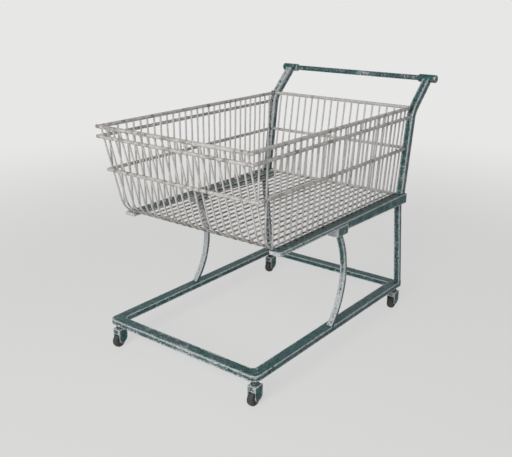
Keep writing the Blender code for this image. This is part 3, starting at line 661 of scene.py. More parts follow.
def worn_paint_nodes(name, wear, gloss):
    """Chipped paint. It is gone where a chip field, 0.55 * coarse + 0.45 * fine noise, exceeds a
    limit that falls with wear. The field is raised near edges, where the piece is rubbed and in
    clusters. Thin scratches cross the paint, where a noise is near 0.5.
    """
    settings = bpy.context.scene.cart_frame
    finish = Finish(name)
    noise, patches, rise, mix = finish.noise, finish.patches, finish.rise, finish.mix
    mottle = noise(52, 6, 0.66)
    colour = mix(rise(mottle, 0.36, 0.64), scaled(settings.paint, 0.60), scaled(settings.paint, 1.40))
    colour = mix(patches(21, 5, 0.6, 0.50, 0.60, 0.0, 0.75), colour, settings.blue_patch)
    chalk = patches(34, 6, 0.66, 0.46, 0.62) * patches(190, 5, 0.66, 0.42, 0.60)
    colour = mix(chalk * 0.5, colour, settings.faded)
    colour = mix(patches(230, 4, 0.62, 0.58, 0.66, 0.0, 0.6), colour, scaled(settings.paint, 0.30))

    edge = finish.mark("edge")
    near_edge = rise(edge - patches(120, 5, 0.6, 0.35, 0.65, 0.0, 0.0013), 0.0003, 0.0013, 1.0, 0.0)
    broken = patches(30, 5, 0.65, 0.36, 0.52, 0.35, 1.0)
    chips = noise(120, 8, 0.75) * 0.55 + noise(260, 4, 0.6) * 0.45
    raised = near_edge * broken * 0.24 + finish.mark("rub") * 0.30
    cluster = patches(17, 4, 0.62, 0.47, 0.62, 0.0, 0.055)
    field = chips + cluster + (raised + rise(edge, 0.0015, 0.0100, 0.085, 0.0))
    limit = 0.69 - 0.12 * wear
    chipped = rise(field, limit, limit + 0.03)
    from_line = finish.math('ABSOLUTE', noise(24, 3, 0.5, 1.1) - 0.5)
    scratch = rise(from_line, 0.002, 0.0085, 1.0, 0.0) * patches(13, 3, 0.6, 0.48, 0.58) * 0.7
    bare = finish.math('MAXIMUM', chipped, scratch)
    border = rise(field, limit - 0.05, limit - 0.005) - bare
    colour = mix(border * 0.5, colour, scaled(settings.paint, 0.30))

    metal = mix(patches(160, 6, 0.7, 0.35, 0.62), scaled(settings.bare_metal, 0.60), settings.bare_metal)
    metal = mix(patches(60, 5, 0.6, 0.58, 0.74, 0.0, 0.4), metal, BROWN_STAIN)
    colour = mix(bare, colour, metal)
    # Darker towards near black where the mesh is marked: dirt, and on the rails' inboard tops painted shadow
    # under the wires' feet, with soot patches all over
    dirt = finish.mark("grime") * patches(75, 5, 0.66, 0.40, 0.60, 0.35, 1.15)
    soot_and_shade = finish.math('MAXIMUM', dirt, patches(8, 4, 0.6, 0.55, 0.75, 0.0, 0.3))
    colour = mix(soot_and_shade, colour, SOOT_AND_SHADE)
    grain = patches(420, 3, 0.5, 0.3, 0.7, -0.06, 0.10)
    finish.bump(bare * -1.0 + mottle * 0.25, 0.00035, 0.7)
    finish.shader.inputs["Specular IOR Level"].default_value = 0.2
    roughness = rise(bare, 0.0, 1.0, gloss, 0.42) + grain
    return finish.set(base_color=colour, roughness=roughness, metallic=bare * 0.12)


def frame_teal(name):
    """Paint of the chassis, rails, struts, posts and uprights."""
    return worn_paint_nodes(name, bpy.context.scene.cart_frame.wear, 0.40)


def bar_teal(name):
    """Paint of the push bar, polished by hands."""
    return worn_paint_nodes(name, bpy.context.scene.cart_frame.wear * 0.8, 0.24)


def fork_teal(name):
    """Paint of the caster forks, worn most."""
    return worn_paint_nodes(name, bpy.context.scene.cart_frame.wear * 1.1, 0.40)


def painted_weld(name):
    """Weld beads of the frame, painted over and worn."""
    return worn_paint_nodes(name, bpy.context.scene.cart_frame.wear * 0.9, 0.45)


def basket_metal(name):
    """Dull pale metal of the wires, darker where dirt has gathered."""
    settings = bpy.context.scene.cart_basket
    finish = Finish(name)
    patches, mix = finish.patches, finish.mix
    grime = finish.mark("grime")
    clean = scaled(settings.wire_colour, 0.88), scaled(settings.wire_colour, 1.06)
    colour = mix(patches(70, 5, 0.6, 0.35, 0.68), *clean)
    stain = finish.rise(finish.noise(44, 7, 0.68) + grime * 0.30, 0.57, 0.86)
    colour = mix(stain * 0.85, colour, settings.grime)
    colour = mix(patches(52, 4, 0.6, 0.52, 0.70) * grime * 0.35, colour, WIRE_RUST)
    pits = patches(520, 3, 0.6, 0.62, 0.72)
    colour = mix(pits * 0.3, colour, scaled(settings.grime, 0.7))
    roughness = finish.rise(stain, 0.0, 1.0, 0.42, 0.66) + patches(300, 3, 0.55, 0.3, 0.7, -0.05, 0.08)
    finish.bump(pits + finish.noise(260, 5, 0.6), 0.00015, 0.5)
    return finish.set(base_color=colour, roughness=roughness, metallic=0.15)


def weld_metal_and_shadow(name):
    """Weld beads at the wires' feet and the rods' ends, coloured near black: burnt metal and painted shadow.
    """
    finish = Finish(name)
    colour = finish.mix(finish.patches(240, 5, 0.6, 0.38, 0.62), *BURNT_AND_SHADOW)
    colour = finish.mix(finish.patches(90, 4, 0.6, 0.56, 0.66, 0.0, 0.5), colour, WELD_RUST)
    finish.bump(finish.noise(700, 3, 0.6), 0.0003, 0.6)
    return finish.set(base_color=colour, roughness=0.6, metallic=0.35)


def tyre_rubber(name):
    """Grey rubber with dust, scuffs and fine pores."""
    rubber = bpy.context.scene.cart_casters.rubber
    finish = Finish(name)
    colour = finish.mix(finish.patches(130, 5, 0.6, 0.35, 0.65), scaled(rubber, 0.6), scaled(rubber, 1.35))
    dust = finish.patches(58, 7, 0.7, 0.46, 0.68, 0.0, 0.55)
    scuff = finish.rise(finish.noise(60, 4, 0.6, 0.0, (1.0, 7.0, 7.0)), 0.60, 0.70, 0.0, 0.6)
    colour = finish.mix(scuff, finish.mix(dust, colour, DUST), SCUFF)
    finish.bump(finish.noise(900, 3, 0.6) + scuff * -0.6, 0.0003, 0.5)
    return finish.set(base_color=colour, roughness=finish.rise(dust, 0.0, 0.5, 0.62, 0.86))


def core_plastic(name):
    """Hard dark core of the wheels, scratched."""
    finish = Finish(name)
    scratches = finish.patches(180, 6, 0.7, 0.48, 0.70, 0.0, 0.7)
    finish.bump(finish.noise(600, 4, 0.6), 0.0002, 0.4)
    return finish.set(base_color=finish.mix(scratches, bpy.context.scene.cart_casters.core, CORE_SCRATCH),
                      roughness=finish.patches(220, 4, 0.55, 0.3, 0.7, 0.40, 0.62))


def pin_steel_and_shade(name):
    """Greasy steel of the axles and swivels, with a little rust. Its dark, teal-tinted colour is also painted
    shade, where the swivels sit between chassis and fork.
    """
    finish = Finish(name)
    grease = finish.patches(150, 6, 0.65, 0.42, 0.62)
    colour = finish.mix(grease, bpy.context.scene.cart_casters.steel_and_shade, GREASE)
    colour = finish.mix(finish.patches(85, 6, 0.7, 0.54, 0.66, 0.0, 0.75), colour, PIN_RUST)
    finish.bump(finish.noise(500, 4, 0.6), 0.0002, 0.5)
    roughness = finish.patches(200, 4, 0.55, 0.3, 0.7, 0.34, 0.6)
    return finish.set(base_color=colour, roughness=roughness, metallic=0.8)


def floor_finish(name):
    """Plain pale floor. The camera sees part of an even glow in it, and far off the glow alone,
    so that the floor ends in the colour of the sky.
    """
    colour = bpy.context.scene.cart_stage.floor_colour
    finish = Finish(name)
    distance = finish.node("VectorMath", {0: finish.place}, operation='LENGTH').outputs["Value"]
    share = finish.seen() * finish.rise(distance, 1.0, 4.0, 0.70, 1.0)
    finish.show("Material Output", share, finish.shader, finish.node("Emission", {"Color": colour}))
    return finish.set(base_color=colour, roughness=0.8)


# Shape of the basket and the frame

def wall_x(z):
    """Side wires lean out in a straight line from the floor's half width to the rim's."""
    return FLOOR_HALF_WIDTH + (z - SIDE_FOOT_Z) / (RIM_Z - SIDE_FOOT_Z) * (RIM_HALF_WIDTH - FLOOR_HALF_WIDTH)


def front_y(z):
    """Front wires lean forward by the lean for each metre of height."""
    return FRONT_Y + FRONT_LEAN * (RIM_Z - z)


def rear_y(z):
    """Rear wires lean back by the lean for each metre of height."""
    return FLOOR_REAR_Y + REAR_LEAN * (z - LENGTH_Z)


def side_wires():
    """Place of each side wire's foot along the cart, and how far the wire leans back for each
    metre of height, which grows evenly towards the rear.
    """
    return [(FIRST_FOOT_Y + FOOT_PITCH * wire, SIDE_REAR_LEAN * wire / (SIDE_COUNT - 1))
            for wire in range(SIDE_COUNT)]


def front_bend():
    """Centre line of a front wire in the Y-Z plane: straight down the front, then a circular
    bend, centre + radius * (-cos a, -sin a), until it runs level.
    """
    lean = math.atan(FRONT_LEAN)
    centre_z = LENGTH_Z + FRONT_BEND_RADIUS
    centre_y = front_y(centre_z - FRONT_BEND_RADIUS * math.sin(lean)) + FRONT_BEND_RADIUS * math.cos(lean)
    angle = np.linspace(lean, math.pi / 2, 22)
    bend = (centre_y, centre_z) - FRONT_BEND_RADIUS * np.stack([np.cos(angle), np.sin(angle)], axis=-1)
    return np.concatenate([[(FRONT_Y, RIM_Z)], bend])


def bend_height(y):
    """Height of the front wires where they pass a place along the cart."""
    line = front_bend()
    return np.interp(y, line[:, 0], line[:, 1])


def near_heights(*heights, floor, width=0.007):
    """A mark that is thickest at some heights, grime at the rods: 0.4 * the sum of
    exp(-((z - height) / width)^2), and below them a slow rise that darkens the wires towards the floor of the
    basket.
    """
    def grime(path):
        z = path[:, 2]
        dirt = sum(np.exp(-((z - height) / width) ** 2) for height in heights)
        return np.clip(0.4 * dirt + floor * np.clip((0.61 - z) / 0.12, 0.0, 1.0), 0.0, 1.0)
    return grime


def strut_y(z, depth):
    """Bowed strut at a depth behind its front face: centre + sqrt((radius + depth)^2 - rise^2)."""
    return STRUT_BOW_CENTRE_Y + np.sqrt((STRUT_BOW_RADIUS + depth) ** 2 - (z - STRUT_BOW_CENTRE_Z) ** 2)


def upright_front_y(z):
    """Front face of the uprights below their knee."""
    rise = (UPRIGHT_KNEE[0] - UPRIGHT_FOOT_Y) / (UPRIGHT_KNEE[1] - RAIL_HIGH.z)
    return UPRIGHT_FOOT_Y + rise * (z - RAIL_HIGH.z) - UPRIGHT_DEPTH / 2 * math.hypot(1.0, rise)


def upright_line():
    """Centre line of an upright in the Y-Z plane, with a circular bend at its knee:
    centre + radius * (sin a * below - cos a * inward).
    """
    foot = Vector((UPRIGHT_FOOT_Y, RAIL_HIGH.z))
    knee = Vector(UPRIGHT_KNEE)
    bar = Vector((BAR_Y, BAR_Z))
    below = (knee - foot).normalized()
    above = (bar - knee).normalized()
    turn = below.angle(above)
    start = knee - below * UPRIGHT_KNEE_RADIUS * math.tan(turn / 2)
    inward = (above - below * above.dot(below)).normalized()
    angle = np.linspace(0.0, turn, 14)[:, None]
    bow = np.sin(angle) * np.array(below) - np.cos(angle) * np.array(inward)
    bend = np.array(start + inward * UPRIGHT_KNEE_RADIUS) + UPRIGHT_KNEE_RADIUS * bow
    end = bar - above * (SOCKET_RADIUS - 0.002)
    return np.concatenate([[np.array(foot)], bend, [np.array(end)]])


def at_x(x, line):
    """Line of the Y-Z plane placed at a distance from the middle."""
    line = np.asarray(line, float)
    return np.column_stack([np.full(len(line), float(x)), line])


# Pieces of the frame

def chassis_edge(inset, radius):
    """Line along the bent tube at a distance inside its outer face: from the back down one side,
    round a corner as centre + radius * (cos a, sin a), across the front and back up the other.
    """
    reach = CHASSIS_HIGH.x - inset
    front = CHASSIS_LOW.y + inset
    angle = np.linspace(math.pi, 1.5 * math.pi, 14)
    corner = radius * np.stack([np.cos(angle), np.sin(angle)], axis=-1) + (radius - reach, front + radius)
    back = CHASSIS_HIGH.y
    ends = [back, back - 0.0003, back - 0.0008]
    y = np.concatenate([ends, np.linspace(back - TUBE_TIP, corner[0, 1], 110)[:-1]])
    left = np.concatenate([np.column_stack([np.full(len(y), -reach), y]), corner])
    x = np.linspace(corner[-1, 0], -corner[-1, 0], 72)[1:-1]
    across = np.column_stack([x, np.full(len(x), front)])
    return np.concatenate([left, across, left[::-1] * (-1, 1)])


class CART_OT_chassis(Operator):
    """Make the worn tube that is bent round the front and the bar across its back"""
    bl_idname = "cart.chassis"
    bl_label = "Chassis"

    def execute(self, context):
        settings = context.scene.cart_frame
        surface = Surface()
        z = (CHASSIS_LOW.z + CHASSIS_HIGH.z) / 2
        height = CHASSIS_HIGH.z - CHASSIS_LOW.z
        outer = chassis_edge(0.0, CHASSIS_OUTER_CORNER)
        inner = chassis_edge(settings.tube_width, CHASSIS_INNER_CORNER)
        from_end = CHASSIS_HIGH.y - outer[:, 1]
        inset = rounded_off(from_end, TUBE_TIP)
        across = np.linalg.norm(outer - inner, axis=1)
        outline, edge = box_outline(across - 2 * inset, height - 2 * inset, settings.edge_rounding)
        middle = np.column_stack([(outer + inner) / 2, np.full(len(outer), z)])
        outward = np.column_stack([(outer - inner) / across[:, None], np.zeros(len(outer))])
        grid = swept(middle, outline, outward[:, None], Z_AXIS)
        rub = CHASSIS_FRONT_RUB * np.exp(-((grid[..., 1] - CHASSIS_LOW.y) / 0.06) ** 2)
        surface.add(grid, np.minimum(edge, from_end[:, None]), rub=rub)
        ends = [(x, SEAT_Y, z) for x in (REAR_BAR_LOW.x - 0.001, REAR_BAR_HIGH.x + 0.001)]
        tube(surface, ends, Z_AXIS, height, settings.tube_width, settings.edge_rounding, tip=0.0001)
        painted("worn_chassis", surface, "chassis_tube", "chassis_rear_bar")
        return {'FINISHED'}


class CART_OT_rails(Operator):
    """Make the two rails under the basket, thin in front and deep behind, and their brackets"""
    bl_idname = "cart.rails"
    bl_label = "Rails and brackets"

    def execute(self, context):
        rounding = context.scene.cart_frame.edge_rounding * 0.7
        for name, side in SIDES.items():
            painted("worn_rail_" + name, self.rail(side * RAIL_X, rounding), "rail_" + name)
            surface = Surface()
            y = (BRACKET_LOW.y + BRACKET_HIGH.y) / 2
            line = [(side * RAIL_X, y, z) for z in (BRACKET_LOW.z, BRACKET_HIGH.z)]
            tube(surface, line, X_AXIS, RAIL_WIDTH, BRACKET_HIGH.y - BRACKET_LOW.y, rounding, step=0.006)
            in_front = surface.points[-1][:, 1] < BRACKET_LOW.y + 0.003
            surface.marks["rub"][-1] = np.where(in_front, BRACKET_RUB["front"], BRACKET_RUB["rest"])
            painted("worn_bracket_" + name, surface, "strut_bracket_" + name)
        return {'FINISHED'}

    def rail(self, x, rounding):
        """Box section along the cart whose depth steps up behind the bracket, then grows evenly."""
        step_y = BRACKET_HIGH.y
        thin, _, thin_inset = resampled([(x, RAIL_LOW.y, 0.0), (x, step_y, 0.0)], TUBE_STEP, RAIL_TIP)
        deep, _, deep_inset = resampled([(x, step_y, 0.0), (x, RAIL_HIGH.y, 0.0)], TUBE_STEP, RAIL_TIP)
        path = np.concatenate([thin[:-4], deep[4:] + (0.0, 1e-5, 0.0)])
        inset = np.concatenate([thin_inset[:-4], deep_inset[4:]])
        share = (path[:, 1] - step_y) / (RAIL_HIGH.y - step_y)
        deep_here = RAIL_STEP_DEPTH + share * (RAIL_HIGH.z - RAIL_LOW.z - RAIL_STEP_DEPTH)
        depth = np.where(share > 0.0, deep_here, RAIL_FRONT_DEPTH)
        path[:, 2] = RAIL_HIGH.z - depth / 2
        outline, edge = box_outline(RAIL_WIDTH - 2 * inset, depth - 2 * inset, rounding)
        grid = swept(path, outline, X_AXIS, Z_AXIS)
        from_end = np.minimum(grid[..., 1] - RAIL_LOW.y, RAIL_HIGH.y - grid[..., 1])
        tip = np.exp(-((grid[..., 1] - RAIL_LOW.y) / 0.012) ** 2)
        low_edge = (grid[..., 2] < RAIL_HIGH.z - depth[:, None] + 0.005) * (share[:, None] <= 0)
        inner = np.clip((RAIL_HIGH.x - 0.006 - np.abs(grid[..., 0])) / 0.006, 0.0, 1.0)
        # Inboard part of the top face darkened: dirt and painted shadow under the wires' feet
        grime = RAIL_GRIME_AND_SHADE * inner * (grid[..., 2] > RAIL_HIGH.z - 0.001) * (1.0 - tip)
        rub = np.clip(RAIL_TIP_RUB * tip + RAIL_LOW_EDGE_RUB * low_edge, 0.0, 1.0)
        return Surface(grid, np.minimum(edge, from_end), grime, rub)


class CART_OT_struts(Operator):
    """Make the bowed struts and the leaning rear posts between the chassis and the rails"""
    bl_idname = "cart.struts"
    bl_label = "Struts and posts"

    def execute(self, context):
        rounding = context.scene.cart_frame.edge_rounding * 0.9
        for name, side in SIDES.items():
            strut = self.strut(side * STRUT_X, rounding, *STRUT_WEAR[name])
            painted("worn_strut_" + name, strut, "strut_" + name)
            painted("worn_post_" + name, self.post(side * POST_X, rounding), "rear_post_" + name)
        return {'FINISHED'}

    def strut(self, x, rounding, worn_below, loss):
        """Flat tube between two arcs. It is rubbed all over a little, and in front by the loss, up to
        a share of its height, which fades out over two fifths of it.
        """
        z = np.linspace(STRUT_LOW.z, STRUT_HIGH.z, 48)
        front = strut_y(z, 0.0)
        back = strut_y(z, STRUT_DEPTH)
        outline, edge = box_outline(np.full(len(z), STRUT_WIDTH), back - front, rounding)
        grid = swept(np.column_stack([np.full(len(z), x), (front + back) / 2, z]), outline, X_AXIS, Y_AXIS)
        facing = np.clip(-outline[..., 1] / (STRUT_DEPTH / 2), 0.0, 1.0) ** 8
        height = (z - z[0]) / (z[-1] - z[0])
        share = np.clip((worn_below - height) / 0.40 + 0.5, 0.0, 1.0)[:, None]
        rub = STRUT_RUB + loss * facing * share
        return Surface(grid, edge + BACK_EDGE_SPARED * (outline[..., 1] > 0), rub=rub)

    def post(self, x, rounding):
        """Straight tube that leans forward."""
        foot = np.array((x, POST_FOOT_Y + POST_DEPTH / 2, POST_LOW.z))
        head = np.array((x, POST_HEAD_Y + POST_DEPTH / 2, POST_HIGH.z))
        path = foot + (head - foot) * np.linspace(0.0, 1.0, 40)[:, None]
        outline, edge = box_outline(POST_WIDTH, POST_DEPTH, rounding)
        in_front = outline[..., 1] < 0.002 - POST_DEPTH / 2
        rub = POST_RUB["rest"] + POST_RUB["front"] * in_front
        edge = edge + BACK_EDGE_SPARED * (outline[..., 1] > 0)
        return Surface(swept(path, outline, X_AXIS, Y_AXIS), edge, rub=rub)


class CART_OT_handle(Operator):
    """Make the uprights, the round push bar, its thicker sockets and its end caps"""
    bl_idname = "cart.handle"
    bl_label = "Uprights and push bar"

    def execute(self, context):
        settings = context.scene.cart_frame
        line = upright_line()
        for name, side in SIDES.items():
            path, _, _ = resampled(at_x(side * UPRIGHT_X, line), TUBE_STEP)
            outline, edge = box_outline(UPRIGHT_WIDTH, UPRIGHT_DEPTH, settings.edge_rounding * 1.2)
            grid = carried(path, outline, X_AXIS)
            grid[0, :, 2] = RAIL_HIGH.z
            in_front = grid[..., 1] < path[:, 1:2]
            surface = Surface(grid, edge, rub=UPRIGHT_RUB + UPRIGHT_FRONT_RUB[name] * in_front)
            painted("worn_upright_" + name, surface, "upright_" + name)
            self.socket(name, side)
        along = np.linspace(BAR_LOW.x, BAR_HIGH.x, 120)
        dents = 1 - 0.012 * np.abs(np.sin(along * 31.0) * np.sin(along * 17.0 + 1.0))
        grid = turned(np.column_stack([BAR_RADIUS * dents, along]), (0.0, BAR_Y, BAR_Z), X_AXIS, 32)
        bar = Surface(grid, rub=BAR_RUB)
        piece("worn_push_bar", bar, once(bar_teal), "cart", ("push_bar",))
        return {'FINISHED'}

    def socket(self, name, side):
        """Sleeve on the bar, with edges rounded as quarter circles, and the domed cap that closes
        it: radius * sin(a)^0.75 and thickness * cos(a)^0.9.
        """
        length = SOCKET_HIGH.x - SOCKET_LOW.x
        angle = np.linspace(0.0, math.pi / 2, 6)
        start = SOCKET_ROUNDING * np.column_stack([np.sin(angle) - 1, 1 - np.cos(angle)])
        start += (SOCKET_RADIUS, 0.0)
        middle = np.column_stack([np.full(14, SOCKET_RADIUS), np.linspace(0.0045, length - 0.0045, 14)])
        end = start[::-1] * (1, -1) + (0.0, length)
        profile = np.concatenate([[(BAR_RADIUS, 0.0)], start, middle, end, [(BAR_RADIUS, length)]])
        edge = 0.0012 + 1.4 * np.minimum(profile[:, 1], length - profile[:, 1])[:, None]
        grid = turned(profile, (side * SOCKET_LOW.x, BAR_Y, BAR_Z), X_AXIS * side, 40)
        painted("worn_bar_socket_" + name, Surface(grid, edge, rub=SOCKET_RUB), "bar_socket_" + name)

        angle = np.linspace(0.05, math.pi / 2, 12)[::-1]
        dome = np.column_stack([SOCKET_RADIUS * np.sin(angle) ** 0.75,
                                (CAP_HIGH.x - CAP_LOW.x) * np.cos(angle) ** 0.9])
        profile = np.concatenate([[(SOCKET_RADIUS, 0.0)], dome])
        edge = 0.0020 + 0.4 * (SOCKET_RADIUS - profile[:, 0])[:, None]
        grid = turned(profile, (side * CAP_LOW.x, BAR_Y, BAR_Z), X_AXIS * side, 40)
        painted("worn_bar_cap_" + name, Surface(grid, edge, rub=CAP_RUB), "bar_end_cap_" + name)


class CART_OT_frame_welds(Operator):
    """Make the weld beads that join the frame's tubes"""
    bl_idname = "cart.frame_welds"
    bl_label = "Frame welds"

    def execute(self, context):
        radius = context.scene.cart_frame.weld_radius
        feet = [(STRUT_X, strut_y(z, STRUT_DEPTH / 2), z, STRUT_WIDTH, STRUT_DEPTH * 1.3)
                for z in (CHASSIS_HIGH.z, BRACKET_LOW.z)]
        feet += [(POST_X, POST_FOOT_Y + POST_DEPTH / 2, CHASSIS_HIGH.z, POST_WIDTH, POST_DEPTH),
                 (POST_X, POST_HEAD_Y + POST_DEPTH / 2, POST_HIGH.z, POST_WIDTH, POST_DEPTH),
                 (UPRIGHT_X, UPRIGHT_FOOT_Y, RAIL_HIGH.z, UPRIGHT_WIDTH, UPRIGHT_DEPTH)]
        on_bar = (REAR_BAR_LOW.y + 0.003, REAR_BAR_HIGH.y - 0.003)
        on_bracket = (BRACKET_LOW.y + 0.004, BRACKET_HIGH.y - 0.004)
        rail_low = RAIL_HIGH.z - RAIL_FRONT_DEPTH
        seams = [(REAR_BAR_HIGH.x, on_bar, z, 0.8) for z in (REAR_BAR_HIGH.z, REAR_BAR_LOW.z)]
        seams += [(x, on_bracket, rail_low, 0.7) for x in (RAIL_LOW.x + 0.002, RAIL_HIGH.x - 0.002)]
        surface = Surface()
        for index, side in enumerate(SIDES.values()):
            seed = SEEDS["frame welds"] + 20 * index
            for x, y, z, width, depth in feet:
                weld_round(surface, (side * x, y, z), width, depth, radius, seed)
                seed += 1
            for x, ends, z, share in seams:
                weld_seam(surface, [(side * x, y, z) for y in ends], X_AXIS, radius * share, seed)
                seed += 1
            line = [(side * x, BRACKET_LOW.y, rail_low) for x in (RAIL_LOW.x + 0.003, RAIL_HIGH.x - 0.003)]
            weld_seam(surface, line, Y_AXIS, radius * 0.8, seed)
        piece("frame_weld_beads", surface, once(painted_weld), "cart")
        return {'FINISHED'}


# Pieces of the basket

class CART_OT_side_walls(Operator):
    """Make the upright wires of both side walls and the rods along their rims"""
    bl_idname = "cart.side_walls"
    bl_label = "Side walls"

    def execute(self, context):
        settings = context.scene.cart_basket
        grime = near_heights(RIM_Z - 0.006, *RING_HEIGHTS, floor=0.25)
        feet = [(y, lean, RAIL_HIGH.z) for y, lean in side_wires()]
        corners = [FIRST_FOOT_Y - offset for offset in CORNER_WIRES]
        feet += [(y, 0.0, bend_height(y) + settings.wire_radius * 1.9) for y in corners]
        for index, (name, side) in enumerate(SIDES.items()):
            surface = Surface()
            for wire, (y, lean, foot_z) in enumerate(feet):
                ends = [(side * wall_x(z), y + lean * (z - foot_z), z) for z in (foot_z, RIM_Z)]
                thin_wire(surface, ends, settings, SEEDS["side wires"] + 60 * index + wire, grime)
            x = side * (RIM_HALF_WIDTH + RIM_OFFSET)
            rim = [(x, y, RIM_Z) for y in (FRONT_Y + 0.002, upright_front_y(RIM_Z - settings.rim_radius))]
            rod(surface, rim, Z_AXIS, settings.rim_radius, SEEDS["side rims"] + index, ROD_GRIME["side rim"],
                waver=settings.waver * 0.5)
            wired("basket_side_" + name, surface, "side_wall_" + name)
        return {'FINISHED'}


class CART_OT_front_and_floor(Operator):
    """Make the wires that run down the front and under the basket, and the wire and rods across them"""
    bl_idname = "cart.front_and_floor"
    bl_label = "Front wall and floor"

    def execute(self, context):
        settings = context.scene.cart_basket
        radius = settings.wire_radius
        grime = near_heights(RIM_Z - 0.006, *RING_HEIGHTS, floor=0.45)

        def under(path):
            """Darker below the rails, rising over 40 mm."""
            return np.maximum(grime(path), np.clip((SIDE_FOOT_Z + 0.030 - path[:, 2]) / 0.040, 0.0, 0.7))

        bend = front_bend()
        line = np.concatenate([bend, [(FLOOR_REAR_Y - settings.ring_radius * 0.5, LENGTH_Z)]])
        surface = Surface()
        for wire, x in enumerate(LENGTH_PLACES):
            seed = SEEDS["long wires"] + wire
            thin_wire(surface, at_x(x, line), settings, seed, under, step=BENT_WIRE_STEP)
        corner_x = LENGTH_PITCH * LENGTH_SIDE_COUNT + CORNER_PITCH
        corner = bend[bend[:, 1] > RAIL_HIGH.z + 2 * radius]
        for index, side in enumerate(SIDES.values()):
            line = at_x(side * corner_x, corner)
            thin_wire(surface, line, settings, SEEDS["corner wires"] + index, grime, None, BENT_WIRE_STEP)
        rod_across(surface, RIM_END_X, FRONT_Y - RIM_OFFSET, RIM_Z, settings.rim_radius, SEEDS["front rim"],
                   ROD_GRIME["front rim"], waver=settings.waver * 0.5)
        bend_z = bend_height(FIRST_FOOT_Y) + 2 * radius - WELD_SINK
        rod_across(surface, RAIL_LOW.x, FIRST_FOOT_Y, bend_z, radius, SEEDS["bend wire"], ROD_GRIME["bend"],
                   sides=WIRE_SIDES, waver=settings.waver * 0.8)
        rod_across(surface, RAIL_LOW.x, FLOOR_REAR_Y, LENGTH_Z, settings.ring_radius, SEEDS["floor rod"],
                   ROD_GRIME["floor"])
        wired("basket_long_wires", surface, "front_wall", "floor_lengthwise")
        return {'FINISHED'}


class CART_OT_rear_wall(Operator):
    """Make the rear wall's wires with its top rod and middle rod"""
    bl_idname = "cart.rear_wall"
    bl_label = "Rear wall"

    def execute(self, context):
        settings = context.scene.cart_basket
        grime = near_heights(RIM_Z - 0.006, LOWER_RING_Z, floor=0.3)
        surface = Surface()
        foot = LENGTH_Z + settings.ring_radius * 0.8
        for wire, x in enumerate(LENGTH_PLACES):
            ends = [(x, rear_y(z), z) for z in (foot, RIM_Z)]
            thin_wire(surface, ends, settings, SEEDS["rear wires"] + wire, grime)
        reach = UPRIGHT_LOW.x + 0.0005
        shape = {"tip": 0.0005, "waver": settings.waver * 0.5}
        rod_across(surface, reach, rear_y(RIM_Z) + RIM_OFFSET, RIM_Z, settings.rim_radius, SEEDS["rear rods"],
                   ROD_GRIME["rear rim"], **shape)
        middle_y = rear_y(LOWER_RING_Z) + settings.ring_radius + settings.wire_radius - WELD_SINK
        rod_across(surface, reach, middle_y, LOWER_RING_Z, settings.ring_radius, SEEDS["rear rods"] + 1,
                   ROD_GRIME["rear middle"], **shape)
        wired("basket_rear", surface, "rear_wall")
        return {'FINISHED'}


class CART_OT_ring_rods(Operator):
    """Make the rods that run round the outside of the basket at two heights"""
    bl_idname = "cart.ring_rods"
    bl_label = "Ring rods"

    def execute(self, context):
        settings = context.scene.cart_basket
        radius = settings.ring_radius
        waver = settings.waver * 0.4
        offset = radius + settings.wire_radius + 0.0001

        def spots(path):
            """Grime in spots: 0.40 + 0.2 * |sin(100 x + 101 y)|^6."""
            return 0.40 + 0.2 * np.abs(np.sin(path[:, 0] * 100.0 + path[:, 1] * 101.0)) ** 6

        for index, (level, (z, end_x)) in enumerate(RINGS.items()):
            surface = Surface()
            y = front_y(z) - offset
            rod_across(surface, end_x, y, z, radius, SEEDS["ring fronts"] + index, spots, waver=waver)
            for side in SIDES.values():
                x = side * (wall_x(z) + offset)
                ends = [(x, y + radius * 0.9, z), (x, upright_front_y(z - radius) + 0.0004, z)]
                rod(surface, ends, Z_AXIS, radius, SEEDS["ring sides"] + index, spots, waver=waver)
            nodes = [level + "_rod_" + place for place in ("front", "right", "left")]
            wired("basket_" + level + "_ring", surface, *nodes)
        return {'FINISHED'}


class CART_OT_wire_welds(Operator):
    """Make the weld beads at the wires' feet and the rods' ends, near black as painted shadow, and the weld
    spots where wires and rods cross
    """
    bl_idname = "cart.wire_welds"
    bl_label = "Wire welds"

    def execute(self, context):
        settings = context.scene.cart_basket
        wire = settings.wire_radius
        ends = [(RIM_Z, settings.rim_radius)] + [(z, settings.ring_radius) for z in RING_HEIGHTS]
        # feet holds near-black weld lumps that also paint the shadow at the wires' feet and the rods' ends
        feet = Surface()
        spots = Surface()
        seed = SEEDS["beads"]
        for side in SIDES.values():
            for y, lean in side_wires():
                foot = (side * (FLOOR_HALF_WIDTH + 0.001), y, RAIL_HIGH.z + 0.0003)
                bead(feet, foot, FOOT_BEAD, seed)
                for z in RING_HEIGHTS:
                    place = (side * (wall_x(z) + wire), y + lean * (z - RAIL_HIGH.z), z)
                    bead(spots, place, SIDE_BEAD, seed + 1)
                seed += 2
            # Near-black lump where each rod ends at the upright: weld and painted shadow
            for z, radius in ends:
                place = (side * (wall_x(z) + 0.007), upright_front_y(z) - 0.0005, z)
                bead(feet, place, (radius * 1.25, 0.0020, radius * 1.25), seed)
                seed += 1
        for x in LENGTH_PLACES:
            crossings = [(x, front_y(z) - wire, z) for z in RING_HEIGHTS]
            crossings.append((x, rear_y(LOWER_RING_Z) + wire, LOWER_RING_Z))
            for place in crossings:
                bead(spots, place, CROSS_BEAD, seed)
                seed += 1
            bead(spots, (x, FLOOR_REAR_Y - 0.002, LENGTH_Z + 0.002), FLOOR_BEAD, seed)
            seed += 1
        piece("wire_foot_welds_and_shadows", feet, once(weld_metal_and_shadow), "cart")
        wired("wire_spot_welds", spots)
        return {'FINISHED'}


# Casters

